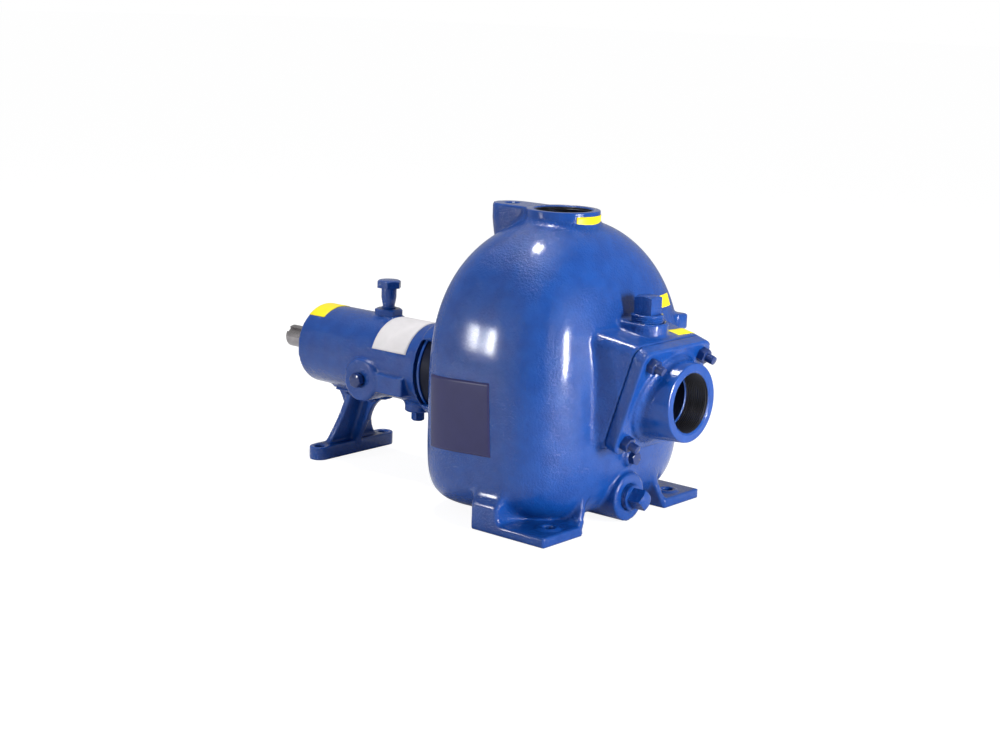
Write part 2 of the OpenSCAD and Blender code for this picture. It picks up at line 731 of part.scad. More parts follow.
module bearing_housing() {
    shoulder_r = tube_r + 10;
    bell_r = bell_in_r + wall;
    window_h = 37;
    color(cast_blue) difference() {
        union() {
            x_rod(-tube_reach, -bell_reach + cut, tube_r);
            x_rod(-bell_reach - 10, -bell_reach, tube_r, shoulder_r);
            x_rod(-bell_reach, bracket_back_u, shoulder_r, bell_r);
            x_rod(bracket_back_u, bracket_u, bracket_r);
            // oil level boss with its pad
            at_u(level_u, level_z) rotate([90, 0, 0]) cylinder(h = -level_y, r = level_r);
            at_u(level_u, level_z - pad_h / 2) translate([0, pad_y, 0])
                cube([pad_end_u - level_u, -pad_y, pad_h]);
            at_u(vent_u, shaft_z) cylinder(h = vent_boss_z - shaft_z, r = 15);
            at_u(oil_drain_u, oil_drain_boss_z) cylinder(h = shaft_z - oil_drain_boss_z,
                r = oil_drain_r + 8);
            at_u(saddle_u - saddle_l / 2, saddle_z) translate([0, -saddle_w / 2, 0])
                cube([saddle_l, saddle_w, shaft_z - saddle_z]);
        }
        x_rod(-tube_reach - cut, -bell_reach + cut, bearing_r);
        x_rod(outer_bearing_u + bearing_w, inner_bearing_u, sump_r);
        // inside of the bell
        x_rod(-bell_reach, bracket_u + cut, bell_in_r);
        // side windows
        at_u() translate([0, 150, 0]) rotate([90, 0, 0]) linear_extrude(300)
            polygon([[-bell_reach + 2, shaft_z - window_h], [-bell_reach + 2, shaft_z + window_h - 5],
                [-bell_reach + 7, shaft_z + window_h], [bracket_back_u - 6, shaft_z + window_h + 6],
                [bracket_back_u - 6, shaft_z - window_h - 6]]);
        at_bracket_bolts(bracket_back_u - cut)
            cylinder(h = bracket_t + 2 * cut, r = bolt_r + fit);
        at_u(level_u, level_z) translate([0, level_y - cut, 0]) rotate([-90, 0, 0])
            cylinder(h = 12, r = small_plug_r + run);
        at_u(level_u, level_z) translate([0, level_y, 0]) rotate([-90, 0, 0])
            cylinder(h = 40, r = small_plug_r - 2);
        at_u(vent_u, shaft_z) cylinder(h = 60, r = vent_bore_r + run);
        at_u(oil_drain_u, oil_drain_boss_z - cut) cylinder(h = 12, r = oil_drain_r + run);
        at_u(oil_drain_u, oil_drain_boss_z) cylinder(h = 40, r = oil_drain_r - 2);
        at_saddle_screws(saddle_z - cut) cylinder(h = 13, r = saddle_screw_r + run);
    }
}

module at_saddle_screws(z) {
    for (sx = [-1, 1], sy = [-1, 1])
        at_u(saddle_u + sx * (saddle_l / 2 - saddle_screw_inset), z)
            translate([0, sy * (saddle_w / 2 - 8), 0]) children();
}

module bracket_bolts() {
    grip = bracket_t + gasket_t + plate_t;
    color(steel) at_bracket_bolts(bracket_back_u) {
        cylinder(h = grip + 14, r = bolt_r);
        translate([0, 0, -5.5]) hex_bar(bolt_af, 5.5);
    }
}

// Bearings: each race has a groove for the balls.
module race_groove(u) {
    at_u(u + bearing_w / 2, shaft_z) rotate([0, 90, 0]) rotate_extrude()
        translate([ball_pitch_r, 0]) circle(ball_r + fit);
}

module outer_races() {
    color(steel) for (u = bearing_us) difference() {
        x_ring(u, u + bearing_w, bearing_r - run, ball_pitch_r + race_gap);
        race_groove(u);
    }
}

module inner_races() {
    color(steel) for (u = bearing_us) difference() {
        x_ring(u, u + bearing_w, ball_pitch_r - race_gap, journal_r + run);
        race_groove(u);
    }
}

module at_balls(u) {
    for (i = [0 : ball_n - 1]) at_u(u + bearing_w / 2, shaft_z) rotate([360 * i / ball_n, 0, 0])
        translate([0, 0, ball_pitch_r]) children();
}

module bearing_balls() {
    color(steel) for (u = bearing_us) at_balls(u) sphere(ball_r, $fn = 32);
}

module bearing_cages() {
    color(brass) for (u = bearing_us) difference() {
        x_ring(u + (bearing_w - cage_w) / 2, u + (bearing_w + cage_w) / 2, ball_pitch_r + 1.4,
            ball_pitch_r - 1.4);
        at_balls(u) sphere(ball_r + 0.15, $fn = 32);
    }
}

module retaining_rings() {
    color(steel) for (u = [outer_ring_u, inner_ring_u])
        x_ring(u + 0.1, u + ring_w - 0.1, bearing_r - run, bearing_r - 4);
}

module oil_seals() {
    color(black_rubber) for (u = [outer_seal_u, inner_seal_u])
        x_ring(u, u + lip_seal_w, bearing_r - run, journal_r + fit);
}

module vent_bushing() {
    color(cast_blue) at_u(vent_u, vent_boss_z) difference() {
        union() {
            translate([0, 0, -12]) cylinder(h = 12, r = vent_bore_r);
            hex_bar(vent_hex_af, vent_hex_h);
        }
        translate([0, 0, -13]) cylinder(h = 13 + vent_hex_h + cut, r = vent_neck_r + run);
    }
}

module vent_body() {
    color(cast_blue) at_u(vent_u, vent_boss_z) {
        translate([0, 0, vent_hex_h - 8]) cylinder(h = 8, r = vent_neck_r);
        translate([0, 0, vent_hex_h]) cylinder(h = vent_column_h, r1 = vent_neck_r + 0.4,
            r2 = vent_top_r);
        translate([0, 0, vent_hex_h + vent_column_h]) cylinder(h = 4, r = vent_neck_r);
    }
}

module vent_cap() {
    color(cast_blue) at_u(vent_u, vent_boss_z + vent_hex_h + vent_column_h) difference() {
        hex_bar(vent_cap_af, vent_cap_h);
        translate([0, 0, -cut]) cylinder(h = 4 + cut, r = vent_neck_r + run);
    }
}

module oil_level_plug() {
    color(cast_blue) at_u(level_u, level_z) translate([0, level_y, 0]) rotate([90, 0, 0]) {
        translate([0, 0, -10]) cylinder(h = 12, r = small_plug_r);
        translate([0, 0, 1]) hex_bar(small_plug_af, 7);
    }
}

module oil_drain_plug() {
    color(cast_blue) at_u(oil_drain_u, oil_drain_boss_z) {
        translate([0, 0, -2]) cylinder(h = 12, r = oil_drain_r);
        translate([0, 0, -11]) square_bar(oil_drain_head, 10);
    }
}

module pedestal_foot() {
    leg_w = 68;
    neck_w = 20;
    web_u = -pedestal_reach + 2;
    saddle_under_z = saddle_z - saddle_t;
    saddle_back_u = saddle_u - saddle_l / 2;
    saddle_front_u = saddle_u + saddle_l / 2;
    back_arc_r = 36;
    front_arc_r = 44.5;
    color(cast_blue) difference() {
        union() {
            at_u(-pedestal_reach) linear_extrude(bar_t) {
                for (s = [-1, 1]) translate([0, s * pedestal_hole_spacing / 2])
                    circle(bar_w / 2);
                square([bar_w, pedestal_hole_spacing], center = true);
            }
            // cross web, wide at the bar
            at_u(web_u - rib_t / 2) rotate([90, 0, 90]) linear_extrude(rib_t)
                polygon([[-leg_w / 2, bar_t - cut], [leg_w / 2, bar_t - cut],
                    [neck_w / 2, saddle_z - 2], [-neck_w / 2, saddle_z - 2]]);
            // fore-and-aft rib, hollowed by an arc on each side
            at_u() translate([0, rib_t / 2, 0]) rotate([90, 0, 0]) linear_extrude(rib_t)
                difference() {
                    polygon([[web_u - rib_t / 2, bar_t - cut], [saddle_front_u, bar_t - cut],
                        [saddle_front_u, saddle_z - 2], [saddle_back_u, saddle_z - 2],
                        [saddle_back_u + 14, saddle_z - 31], [web_u - rib_t / 2, bar_t + 14]]);
                    translate([saddle_back_u - 21, saddle_z - 31]) circle(back_arc_r);
                    translate([saddle_front_u - 6, bar_t + 12]) circle(front_arc_r);
                }
            at_u(saddle_back_u, saddle_under_z) translate([0, -saddle_w / 2, 0])
                cube([saddle_l, saddle_w, saddle_t]);
        }
        for (s = [-1, 1]) translate([0, s * pedestal_hole_spacing / 2, -cut])
            at_u(-pedestal_reach) cylinder(h = bar_t + 2 * cut, r = foot_hole_r);
        at_saddle_screws(saddle_under_z - cut)
            cylinder(h = saddle_t + 2 * cut, r = saddle_screw_r + fit);
    }
}

module pedestal_screws() {
    color(steel) at_saddle_screws(saddle_z - saddle_t) {
        cylinder(h = saddle_t + 10, r = saddle_screw_r);
        translate([0, 0, -4.5]) hex_bar(saddle_screw_af, 4.5);
    }
}

casing();
fill_plug();
drain_plug();
side_plug();
suction_flange();
suction_gasket();
flange_studs();
flange_nuts();
check_valve_flap();
check_valve_weight();
check_valve_screw();
check_valve_pin();
wear_plate();
wear_plate_screws();
impeller();
impeller_washer();
impeller_screw();
shaft();
shaft_sleeve();
seal_ring();
seal_bellows();
seal_seat();
seal_plate();
seal_plate_gasket();
seal_housing_lip_seal();
slinger();
bearing_housing();
bracket_bolts();
outer_races();
inner_races();
bearing_balls();
bearing_cages();
retaining_rings();
oil_seals();
vent_bushing();
vent_body();
vent_cap();
oil_level_plug();
oil_drain_plug();
pedestal_foot();
pedestal_screws();
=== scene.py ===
import bpy
import bmesh
import json
import math
import numpy as np
from mathutils import Matrix, Vector
from mathutils.bvhtree import BVHTree


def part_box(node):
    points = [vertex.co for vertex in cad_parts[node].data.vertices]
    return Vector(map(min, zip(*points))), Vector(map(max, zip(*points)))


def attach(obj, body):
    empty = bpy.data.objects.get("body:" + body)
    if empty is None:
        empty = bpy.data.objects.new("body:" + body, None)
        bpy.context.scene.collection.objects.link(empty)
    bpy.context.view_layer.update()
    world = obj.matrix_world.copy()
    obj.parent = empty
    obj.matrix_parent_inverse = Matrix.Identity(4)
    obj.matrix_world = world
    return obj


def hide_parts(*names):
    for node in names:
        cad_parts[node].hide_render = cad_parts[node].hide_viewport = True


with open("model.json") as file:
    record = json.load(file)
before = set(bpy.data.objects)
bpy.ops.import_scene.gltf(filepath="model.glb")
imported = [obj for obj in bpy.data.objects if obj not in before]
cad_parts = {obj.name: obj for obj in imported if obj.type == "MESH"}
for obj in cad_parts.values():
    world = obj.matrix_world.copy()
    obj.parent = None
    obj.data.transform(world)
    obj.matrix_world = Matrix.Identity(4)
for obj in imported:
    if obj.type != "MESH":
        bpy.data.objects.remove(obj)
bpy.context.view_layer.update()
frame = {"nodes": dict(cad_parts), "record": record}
mm = 0.001
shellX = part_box("casing")[0][0] / mm + 98.5   # discharge axis, mm from the origin
shaftZ = (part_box("shaft")[0][2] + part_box("shaft")[1][2]) / 2 / mm


def metres(u, y, z): return (shellX + u) * mm, y * mm, z * mm


class Wire:
    def __init__(self, maker, socket):
        self.maker = maker
        self.socket = socket

    def calc(self, operation, other=0.0, swap=False):
        pair = [other, self] if swap else [self, other]
        return self.maker.add("ShaderNodeMath", {"operation": operation},
                              {0: pair[0], 1: pair[1]})[0]

    def __add__(self, other): return self.calc("ADD", other)
    __radd__ = __add__
    def __mul__(self, other): return self.calc("MULTIPLY", other)
    __rmul__ = __mul__
    def __sub__(self, other): return self.calc("SUBTRACT", other)
    def __rsub__(self, other): return self.calc("SUBTRACT", other, True)
    def __truediv__(self, other): return self.calc("DIVIDE", other)


class Made:   # a node whose outputs read as wires
    def __init__(self, maker, node):
        self.maker = maker
        self.node = node

    def __getitem__(self, key): return Wire(self.maker, self.node.outputs[key])


class NodeMaker:   # adds nodes to one tree
    def __init__(self, tree): self.tree = tree

    def add(self, kind, settings=None, values=None):
        node = self.tree.nodes.new(kind)
        for key, value in (settings or {}).items():
            if key == "stops":
                ramp = node.color_ramp.elements
                while len(ramp) < len(value):
                    ramp.new(0.5)
                for stop, (place, colour) in zip(ramp, value):
                    stop.position = place
                    stop.color = colour
            else:
                setattr(node, key, value)
        for key, value in (values or {}).items():
            if isinstance(value, Wire):
                self.tree.links.new(value.socket, node.inputs[key])
            else:
                node.inputs[key].default_value = value
        return Made(self, node)

    def span(self, wire, low, high):   # 0 at low, 1 at high
        return self.add("ShaderNodeMapRange", None,
                        {"Value": wire, "From Min": low, "From Max": high})["Result"]


class Finish(NodeMaker):   # a material made of nodes, on object coordinates
    def __init__(self, name, **constants):
        self.material = bpy.data.materials.new(name)
        self.material.use_nodes = True
        NodeMaker.__init__(self, self.material.node_tree)
        self.shader = self.tree.nodes["Principled BSDF"]
        for socket, value in constants.items():
            self.shader.inputs[socket.replace("_", " ")].default_value = value
        self.place = self.add("ShaderNodeTexCoord")["Object"]

    def noise(self, scale, detail=3.0, rough=0.55, place=None):
        return self.add("ShaderNodeTexNoise", None, {
            "Vector": place or self.place, "Scale": scale, "Detail": detail,
            "Roughness": rough})["Fac"]

    def feed(self, socket, wire):
        self.tree.links.new(wire.socket, self.shader.inputs[socket])

    def colour(self, amount, first, second):
        self.feed("Base Color", self.add("ShaderNodeMix", {"data_type": "RGBA"},
                                         {0: amount, 6: first, 7: second})[2])

    def bump(self, height, strength, distance):
        self.feed("Normal", self.add("ShaderNodeBump", None, {
            "Height": height, "Strength": strength, "Distance": distance})["Normal"])


enamel = {
    "light": (0.005, 0.055, 0.270, 1), "deep": (0.003, 0.041, 0.220, 1),
    "grain": 760, "pit": 400, "swell": 60, "depth": 0.0018, "strength": 0.75,
    "gloss": 0.08, "glossSpread": 0.08, "spec": 0.22, "coat": 0.42, "coatRough": 0.15,
}


def castEnamel(name, strength):
    v = enamel
    f = Finish(name, Specular_IOR_Level=v["spec"], Coat_Weight=v["coat"],
               Coat_Roughness=v["coatRough"])
    grain = f.noise(v["grain"], 2.0, 0.6)
    pit = f.noise(v["pit"], 3.0, 0.6)
    swell = f.noise(v["swell"], 2.0, 0.5)
    f.colour(f.span(swell, 0.35, 0.65) * 0.7 + pit * 0.3, v["deep"], v["light"])
    f.feed("Roughness", grain * v["glossSpread"] + v["gloss"])
    f.bump(grain * 0.2 + pit * 0.8 + swell * 0.3, strength, v["depth"])
    return f.material


def shade(colour, by, lift=0.0): return tuple(min(1, c * by + lift) for c in colour[:3]) + (1,)


def turnedSteel(name, colour, stretch, roughness):
    f = Finish(name, Metallic=1.0)
    along = f.add("ShaderNodeMapping", None, {"Vector": f.place, "Scale": stretch})["Vector"]
    lines = f.noise(1.0, 4.0, 0.65, along)
    stain = f.noise(90)
    f.colour(f.span(stain + lines * 0.5, 0.5, 1.0), shade(colour, 0.62), colour)
    f.feed("Roughness", lines * 0.25 + (roughness - 0.12))
    f.bump(lines, 0.25, 0.00012)
    return f.material


def mattRubber(name, colour, roughness, scale):
    f = Finish(name)
    speck = f.noise(scale, 3.0, 0.6)
    f.colour(f.span(speck, 0.4, 0.75), colour, shade(colour, 1.9, 0.01))
    f.feed("Roughness", speck * 0.2 + (roughness - 0.1))
    f.bump(speck, 0.3, 0.0002)
    return f.material


def bareIron(name, colour, metallic, roughness):
    f = Finish(name, Metallic=metallic)
    grain = f.noise(520, 4.0, 0.65)
    patch = f.noise(45)
    f.colour(f.span(patch, 0.3, 0.7), shade(colour, 0.45), colour)
    f.feed("Roughness", grain * 0.3 + (roughness - 0.15))
    f.bump(grain * 0.6 + patch * 0.4, 0.35, 0.0003)
    return f.material


def labelStock(name, colour, gloss):
    f = Finish(name, Specular_IOR_Level=0.3)
    fibre = f.noise(900, 3.0, 0.6)
    broad = f.noise(60, 2.0)
    f.colour(f.span(broad, 0.3, 0.7), shade(colour, 0.9), colour)
    f.feed("Roughness", fibre * 0.15 + gloss)
    f.bump(fibre * 0.3 + broad, 0.12, 0.0002)
    return f.material


def darkEnamel(name, specular, cloud, deep, light, speck, spread, gloss):
    f = Finish(name, Specular_IOR_Level=specular)
    f.colour(f.noise(cloud), deep, light)
    f.feed("Roughness", f.noise(speck) * spread + gloss)
    return f.material


finishes = {   # by the record's material slots
    "body_paint": castEnamel("castEnamel", enamel["strength"]),
    "steel": turnedSteel("platedSteel", (0.55, 0.56, 0.58, 1), (900, 900, 900), 0.36),
    "shaft_steel": turnedSteel("groundSteel", (0.42, 0.40, 0.41, 1), (2600, 160, 160), 0.24),
    "rubber": mattRubber("blackRubber", (0.018, 0.018, 0.020, 1), 0.62, 600),
    "gasket": mattRubber("fibreSheet", (0.035, 0.036, 0.045, 1), 0.85, 900),
    "cast_iron": bareIron("castIron", (0.16, 0.16, 0.165, 1), 0.7, 0.55),
    "brass": turnedSteel("machinedBrass", (0.62, 0.45, 0.20, 1), (300, 900, 900), 0.32),
    "carbon": bareIron("carbonFace", (0.05, 0.05, 0.055, 1), 0.1, 0.35),
}
paint = finishes["body_paint"]
smoothEnamel = castEnamel("machinedEnamel", 0.2)
# painted shade: a near-black copy of the body enamel, for the seal plate inside the bracket and the
# sleeves deep in both passages, where shade falls
paintedShadeEnamel = darkEnamel("shadedEnamel", 0.12, 60, (0.002, 0.003, 0.010, 1),
                         (0.004, 0.008, 0.028, 1), 300, 0.2, 0.35)
# painted shade and dark reflections: a darker, glossier copy of the body enamel for the flange nuts
# and the gauge and level plugs
boltEnamel = darkEnamel("boltEnamel", 0.6, 120, (0.004, 0.016, 0.085, 1),
                        (0.007, 0.030, 0.150, 1), 500, 0.16, 0.12)
threadIron = bareIron("threadIron", (0.020, 0.021, 0.030, 1), 0.5, 0.36)
whiteStock = labelStock("whiteLabelStock", (0.64, 0.62, 0.63, 1), 0.42)
yellowStock = labelStock("yellowLabelStock", (0.86, 0.70, 0.012, 1), 0.30)
navyStock = labelStock("navyLabelStock", (0.022, 0.022, 0.095, 1), 0.30)
print("finishes made")

# CAD nodes keep their shape and take a better finish from their slot
slotOf = {part["node"]: part["material_slot"] for part in frame["record"]["subparts"]}
# the seal plate takes the painted-shade enamel, as it lies in shade inside the bracket
finishOf = {"seal_plate": paintedShadeEnamel, "suction_gasket": smoothEnamel}
for nodeName, cadObject in frame["nodes"].items():
    finish = finishOf.get(nodeName, finishes[slotOf[nodeName]])
    for holder in cadObject.material_slots:
        holder.material = finish
    if not cadObject.material_slots:
        cadObject.data.materials.append(finish)
print("frame nodes finished")


# Castings are fields of distance on a grid, in mm; u is x from the discharge axis.
def join(a, b, fillet):
    width = fillet * 1.2
    over = np.maximum(width - np.abs(a - b), 0.0) / width
    return np.minimum(a, b) - over * over * width * 0.25


def cut(a, b, edge=0.8): return -join(-a, b, edge)


class Mould:
    def __init__(self, low, high, step):
        self.low = np.array(low, float)
        self.step = step
        axes = [low[i] + step * np.arange(int(math.ceil((high[i] - low[i]) / step)) + 1)
                for i in range(3)]
        self.u, self.y, self.z = np.meshgrid(*axes, indexing="ij", sparse=True)

    def shape(self, sides, edge):   # several distances that must all be inside, with a rounded edge
        sides = [s + edge for s in sides]
        inner = sides[0]
        outer = np.maximum(sides[0], 0.0) ** 2
        for s in sides[1:]:
            inner = np.maximum(inner, s)
            outer = outer + np.maximum(s, 0.0) ** 2
        return np.sqrt(outer) + np.minimum(inner, 0.0) - edge

    def box(self, u0, u1, y0, y1, z0, z1, edge=1.5):
        return self.shape([np.abs(self.u - (u0 + u1) / 2) - (u1 - u0) / 2,
                           np.abs(self.y - (y0 + y1) / 2) - (y1 - y0) / 2,
                           np.abs(self.z - (z0 + z1) / 2) - (z1 - z0) / 2], edge)

    def rod(self, axis, a0, a1, centre, r, rEnd=None, edge=1.5):
        run, across = {"u": (self.u, (self.y, self.z)), "y": (self.y, (self.u, self.z)),
                       "z": (self.z, (self.u, self.y))}[axis]
        radial = np.sqrt((across[0] - centre[0]) ** 2 + (across[1] - centre[1]) ** 2)
        size = r if rEnd is None else r + (rEnd - r) * np.clip((run - a0) / (a1 - a0), 0, 1)
        return self.shape([radial - size, np.abs(run - (a0 + a1) / 2) - (a1 - a0) / 2], edge)

    def egg(self, halfL, halfW, midZ, up, down):   # squarer low down and in plan, rounder on top
        f = np.where(self.z > midZ, (self.z - midZ) / up, (self.z - midZ) / down)
        rear = np.clip(-self.u / halfL, 0, 1)
        q = np.where(self.z > midZ, 2.4 + 0.35 * rear, 4.4 + 2.4 * rear)
        e = np.where(f > 0, 3.6 - 1.5 * np.clip(f, 0, 1) ** 2, 3.6)
        plan = ((np.abs(self.u) / halfL) ** e + (np.abs(self.y) / halfW) ** e) ** (1 / e)
        reach = (plan ** q + np.abs(f) ** q) ** (1 / q)
        slopes = np.gradient(reach, self.step)
        steep = np.sqrt(slopes[0] ** 2 + slopes[1] ** 2 + slopes[2] ** 2)
        return (reach - 1) / np.maximum(steep, 0.003)


def skinOf(field, mould):   # one vertex in each cell that the surface crosses
    inside = field < 0
    shape = np.array(field.shape)
    cells = shape - 1
    total = np.zeros((int(np.prod(cells)), 3))
    count = np.zeros(len(total))
    quads = []
    for axis in range(3):
        one, two = (axis + 1) % 3, (axis + 2) % 3
        near = [slice(None)] * 3
        far = [slice(None)] * 3
        near[axis] = slice(0, -1)
        far[axis] = slice(1, None)
        crossed = inside[tuple(near)] != inside[tuple(far)]
        spot = np.array(np.nonzero(crossed)).T
        first = field[tuple(near)][crossed]
        second = field[tuple(far)][crossed]
        place = spot.astype(float)
        place[:, axis] += first / (first - second)
        around = []
        for da, db in ((-1, -1), (0, -1), (0, 0), (-1, 0)):
            cell = spot.copy()
            cell[:, one] += da
            cell[:, two] += db
            flat = (cell[:, 0] * cells[1] + cell[:, 1]) * cells[2] + cell[:, 2]
            around.append(flat)
            for k in range(3):
                total[:, k] += np.bincount(flat, place[:, k], len(total))
            count += np.bincount(flat, minlength=len(total))
        quad = np.stack(around, 1)
        leaving = first < 0
        quads.append(np.where(leaving[:, None], quad, quad[:, ::-1]))
    quads = np.concatenate(quads)
    used = np.nonzero(count)[0]
    newIndex = np.full(len(total), -1)
    newIndex[used] = np.arange(len(used))
    points = total[used] / count[used][:, None] * mould.step + mould.low
    return points, newIndex[quads]


def meshPiece(name, points, faces, finish):   # points in mm, u y z
    mesh = bpy.data.meshes.new(name)
    points = np.asarray(points, float).copy()
    points[:, 0] += shellX
    if isinstance(faces, np.ndarray):
        mesh.vertices.add(len(points))
        mesh.vertices.foreach_set("co", (points * mm).ravel())
        mesh.loops.add(faces.size)
        mesh.loops.foreach_set("vertex_index", faces.ravel().astype(np.int32))
        mesh.polygons.add(len(faces))
        starts = np.arange(0, faces.size, faces.shape[1], dtype=np.int32)
        mesh.polygons.foreach_set("loop_start", starts)
        mesh.update(calc_edges=True)
        mesh.validate()
    else:
        mesh.from_pydata([tuple(p) for p in points * mm], [], faces)
        mesh.update()
    mesh.polygons.foreach_set("use_smooth", [True] * len(mesh.polygons))
    mesh.materials.append(finish)
    piece = bpy.data.objects.new(name, mesh)
    bpy.context.scene.collection.objects.link(piece)
    return piece


def settle(piece):   # modifiers applied, so the piece is one plain mesh
    graph = bpy.context.evaluated_depsgraph_get()
    done = bpy.data.meshes.new_from_object(piece.evaluated_get(graph))
    piece.modifiers.clear()
    old = piece.data
    piece.data = done
    bpy.data.meshes.remove(old)
    done.name = piece.name
    return piece


def cast(name, field, mould, keep=1.0):
    points, quads = skinOf(field, mould)
    piece = meshPiece(name, points, quads, paint)
    if keep < 1:
        thin = piece.modifiers.new("thin", "DECIMATE")
        thin.ratio = keep
        settle(piece)
    faces = sum(len(p.vertices) - 2 for p in piece.data.polygons)
    print("cast", name, faces, "triangles")
    return piece


def fix(piece, *replaced, body="pump_body", slotName="body_paint"):   # hand over to the frame
    if replaced:
        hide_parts(*replaced)
    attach(piece, body)
    return piece


casing = {
    "step": 2.2, "keep": 0.5,
    "halfL": 98.5, "halfW": 133.5, "midZ": 132.5, "up": 174.0, "down": 128.5, "wall": 8.0,
    "bodyFillet": 4.5, "bossFillet": 3.0,
    "portR": 30.2, "coreR": 27.5, "ringR": 38.2, "topZ": 315.5, "seatZ": 288.5,
    "tilt": math.radians(18), "jointU": 137.0, "jointZ": 139.0, "jointN": -14.1,
}
suctionBox = {"startU": 69.5, "endU": 123.59, "lean": 0.3249, "leanZ": 143.36, "half": 66.5,
              "narrow": 9, "top": 210, "fall": 11.96, "under": 83, "rise": 5.68, "corner": 11}
feet = {"midU": 50, "halfU": 47, "midY": 104.5, "halfY": 30, "edgeY": 134.5, "clipY": 134.4,
        "padHalf": 5.3, "blockU": 19, "blockHalfU": 16, "blockHalf": 20, "webY": 75.6,
        "webHalf": 3.9, "webHalfZ": 22, "holeU": 77.5, "holeY": 102.5, "holeR": 6,
        "seatR": 11.8, "seatHalf": 6.3}
lug = {"eyeU": -69, "eyeR": 7.5, "endR": 20.5, "backU": -90, "slopeZ": 299, "footZ": 235}
bosses = {"fillU": 112.5, "fillMid": 201, "fillHalf": 13, "fillR": 21.6,
          "drainU": 102.0, "drainZ": 28.0, "drainR": 25.4,
          "gaugeU": 102.5, "gaugeZ": 70.0, "gaugeR": 9.2}
volute = {"frontU": -30, "backU": -83, "outR": 84, "r": 76, "openR": 64, "plateR": 80.6,
          "eyeR": 28.5}


def flangeWays(mould):   # n leaves the flange's outer face, t runs up the joint
    c, s = math.cos(casing["tilt"]), math.sin(casing["tilt"])
    du, dz = mould.u - casing["jointU"], mould.z - casing["jointZ"]
    return du * c - dz * s, du * s + dz * c


def boxField(m, n):   # its section shrinks from the shell to the joint
    b = suctionBox
    endU = b["endU"] + b["lean"] * (m.z - b["leanZ"])
    along = np.clip((m.u - b["startU"]) / (endU - b["startU"]), 0, 1)
    side = np.abs(m.y) - (b["half"] - b["narrow"] * along)
    top = (m.z - (b["top"] - b["fall"] * along)) * 0.986
    under = ((b["under"] + b["rise"] * along) - m.z) * 0.988
    section = m.shape([side, np.maximum(top, under)], b["corner"])
    return m.shape([section, n - casing["jointN"], 62 - m.u], 0.6)


def addFeet(m, body):   # pad, rear block, leaning inner web and a seat round each hole
    f = feet
    y = np.abs(m.y)
    long, wide = np.abs(m.u - f["midU"]) - f["halfU"], np.abs(y - f["midY"]) - f["halfY"]
    foot = m.shape([long, wide, np.abs(m.z - f["padHalf"]) - f["padHalf"]], 0.8)
    block = m.shape([np.abs(m.u - f["blockU"]) - f["blockHalfU"], wide,
                     np.abs(m.z - f["blockHalf"]) - f["blockHalf"],
                     (y - f["edgeY"] + np.maximum(m.z - 26, 0) * 0.85) * 0.8], 1.0)
    web = m.shape([3 - m.u, (m.u - 97 + m.z * 0.2) * 0.98,
                   np.abs(y - f["webY"] + m.z * 0.44) * 0.915 - f["webHalf"],
                   np.abs(m.z - f["webHalfZ"]) - f["webHalfZ"]], 1.0)
    seat = m.shape([np.hypot(m.u - f["holeU"], y - f["holeY"]) - f["seatR"],
                    np.abs(m.z - f["seatHalf"]) - f["seatHalf"]], 0.6)
    foot = join(join(foot, block, 7), web, 3)
    foot = np.maximum(foot, m.shape([long, y - f["edgeY"], -m.z], 0.8))
    body = join(join(body, block, 12), foot, 4)
    return np.maximum(join(body, seat, 1), -m.z)


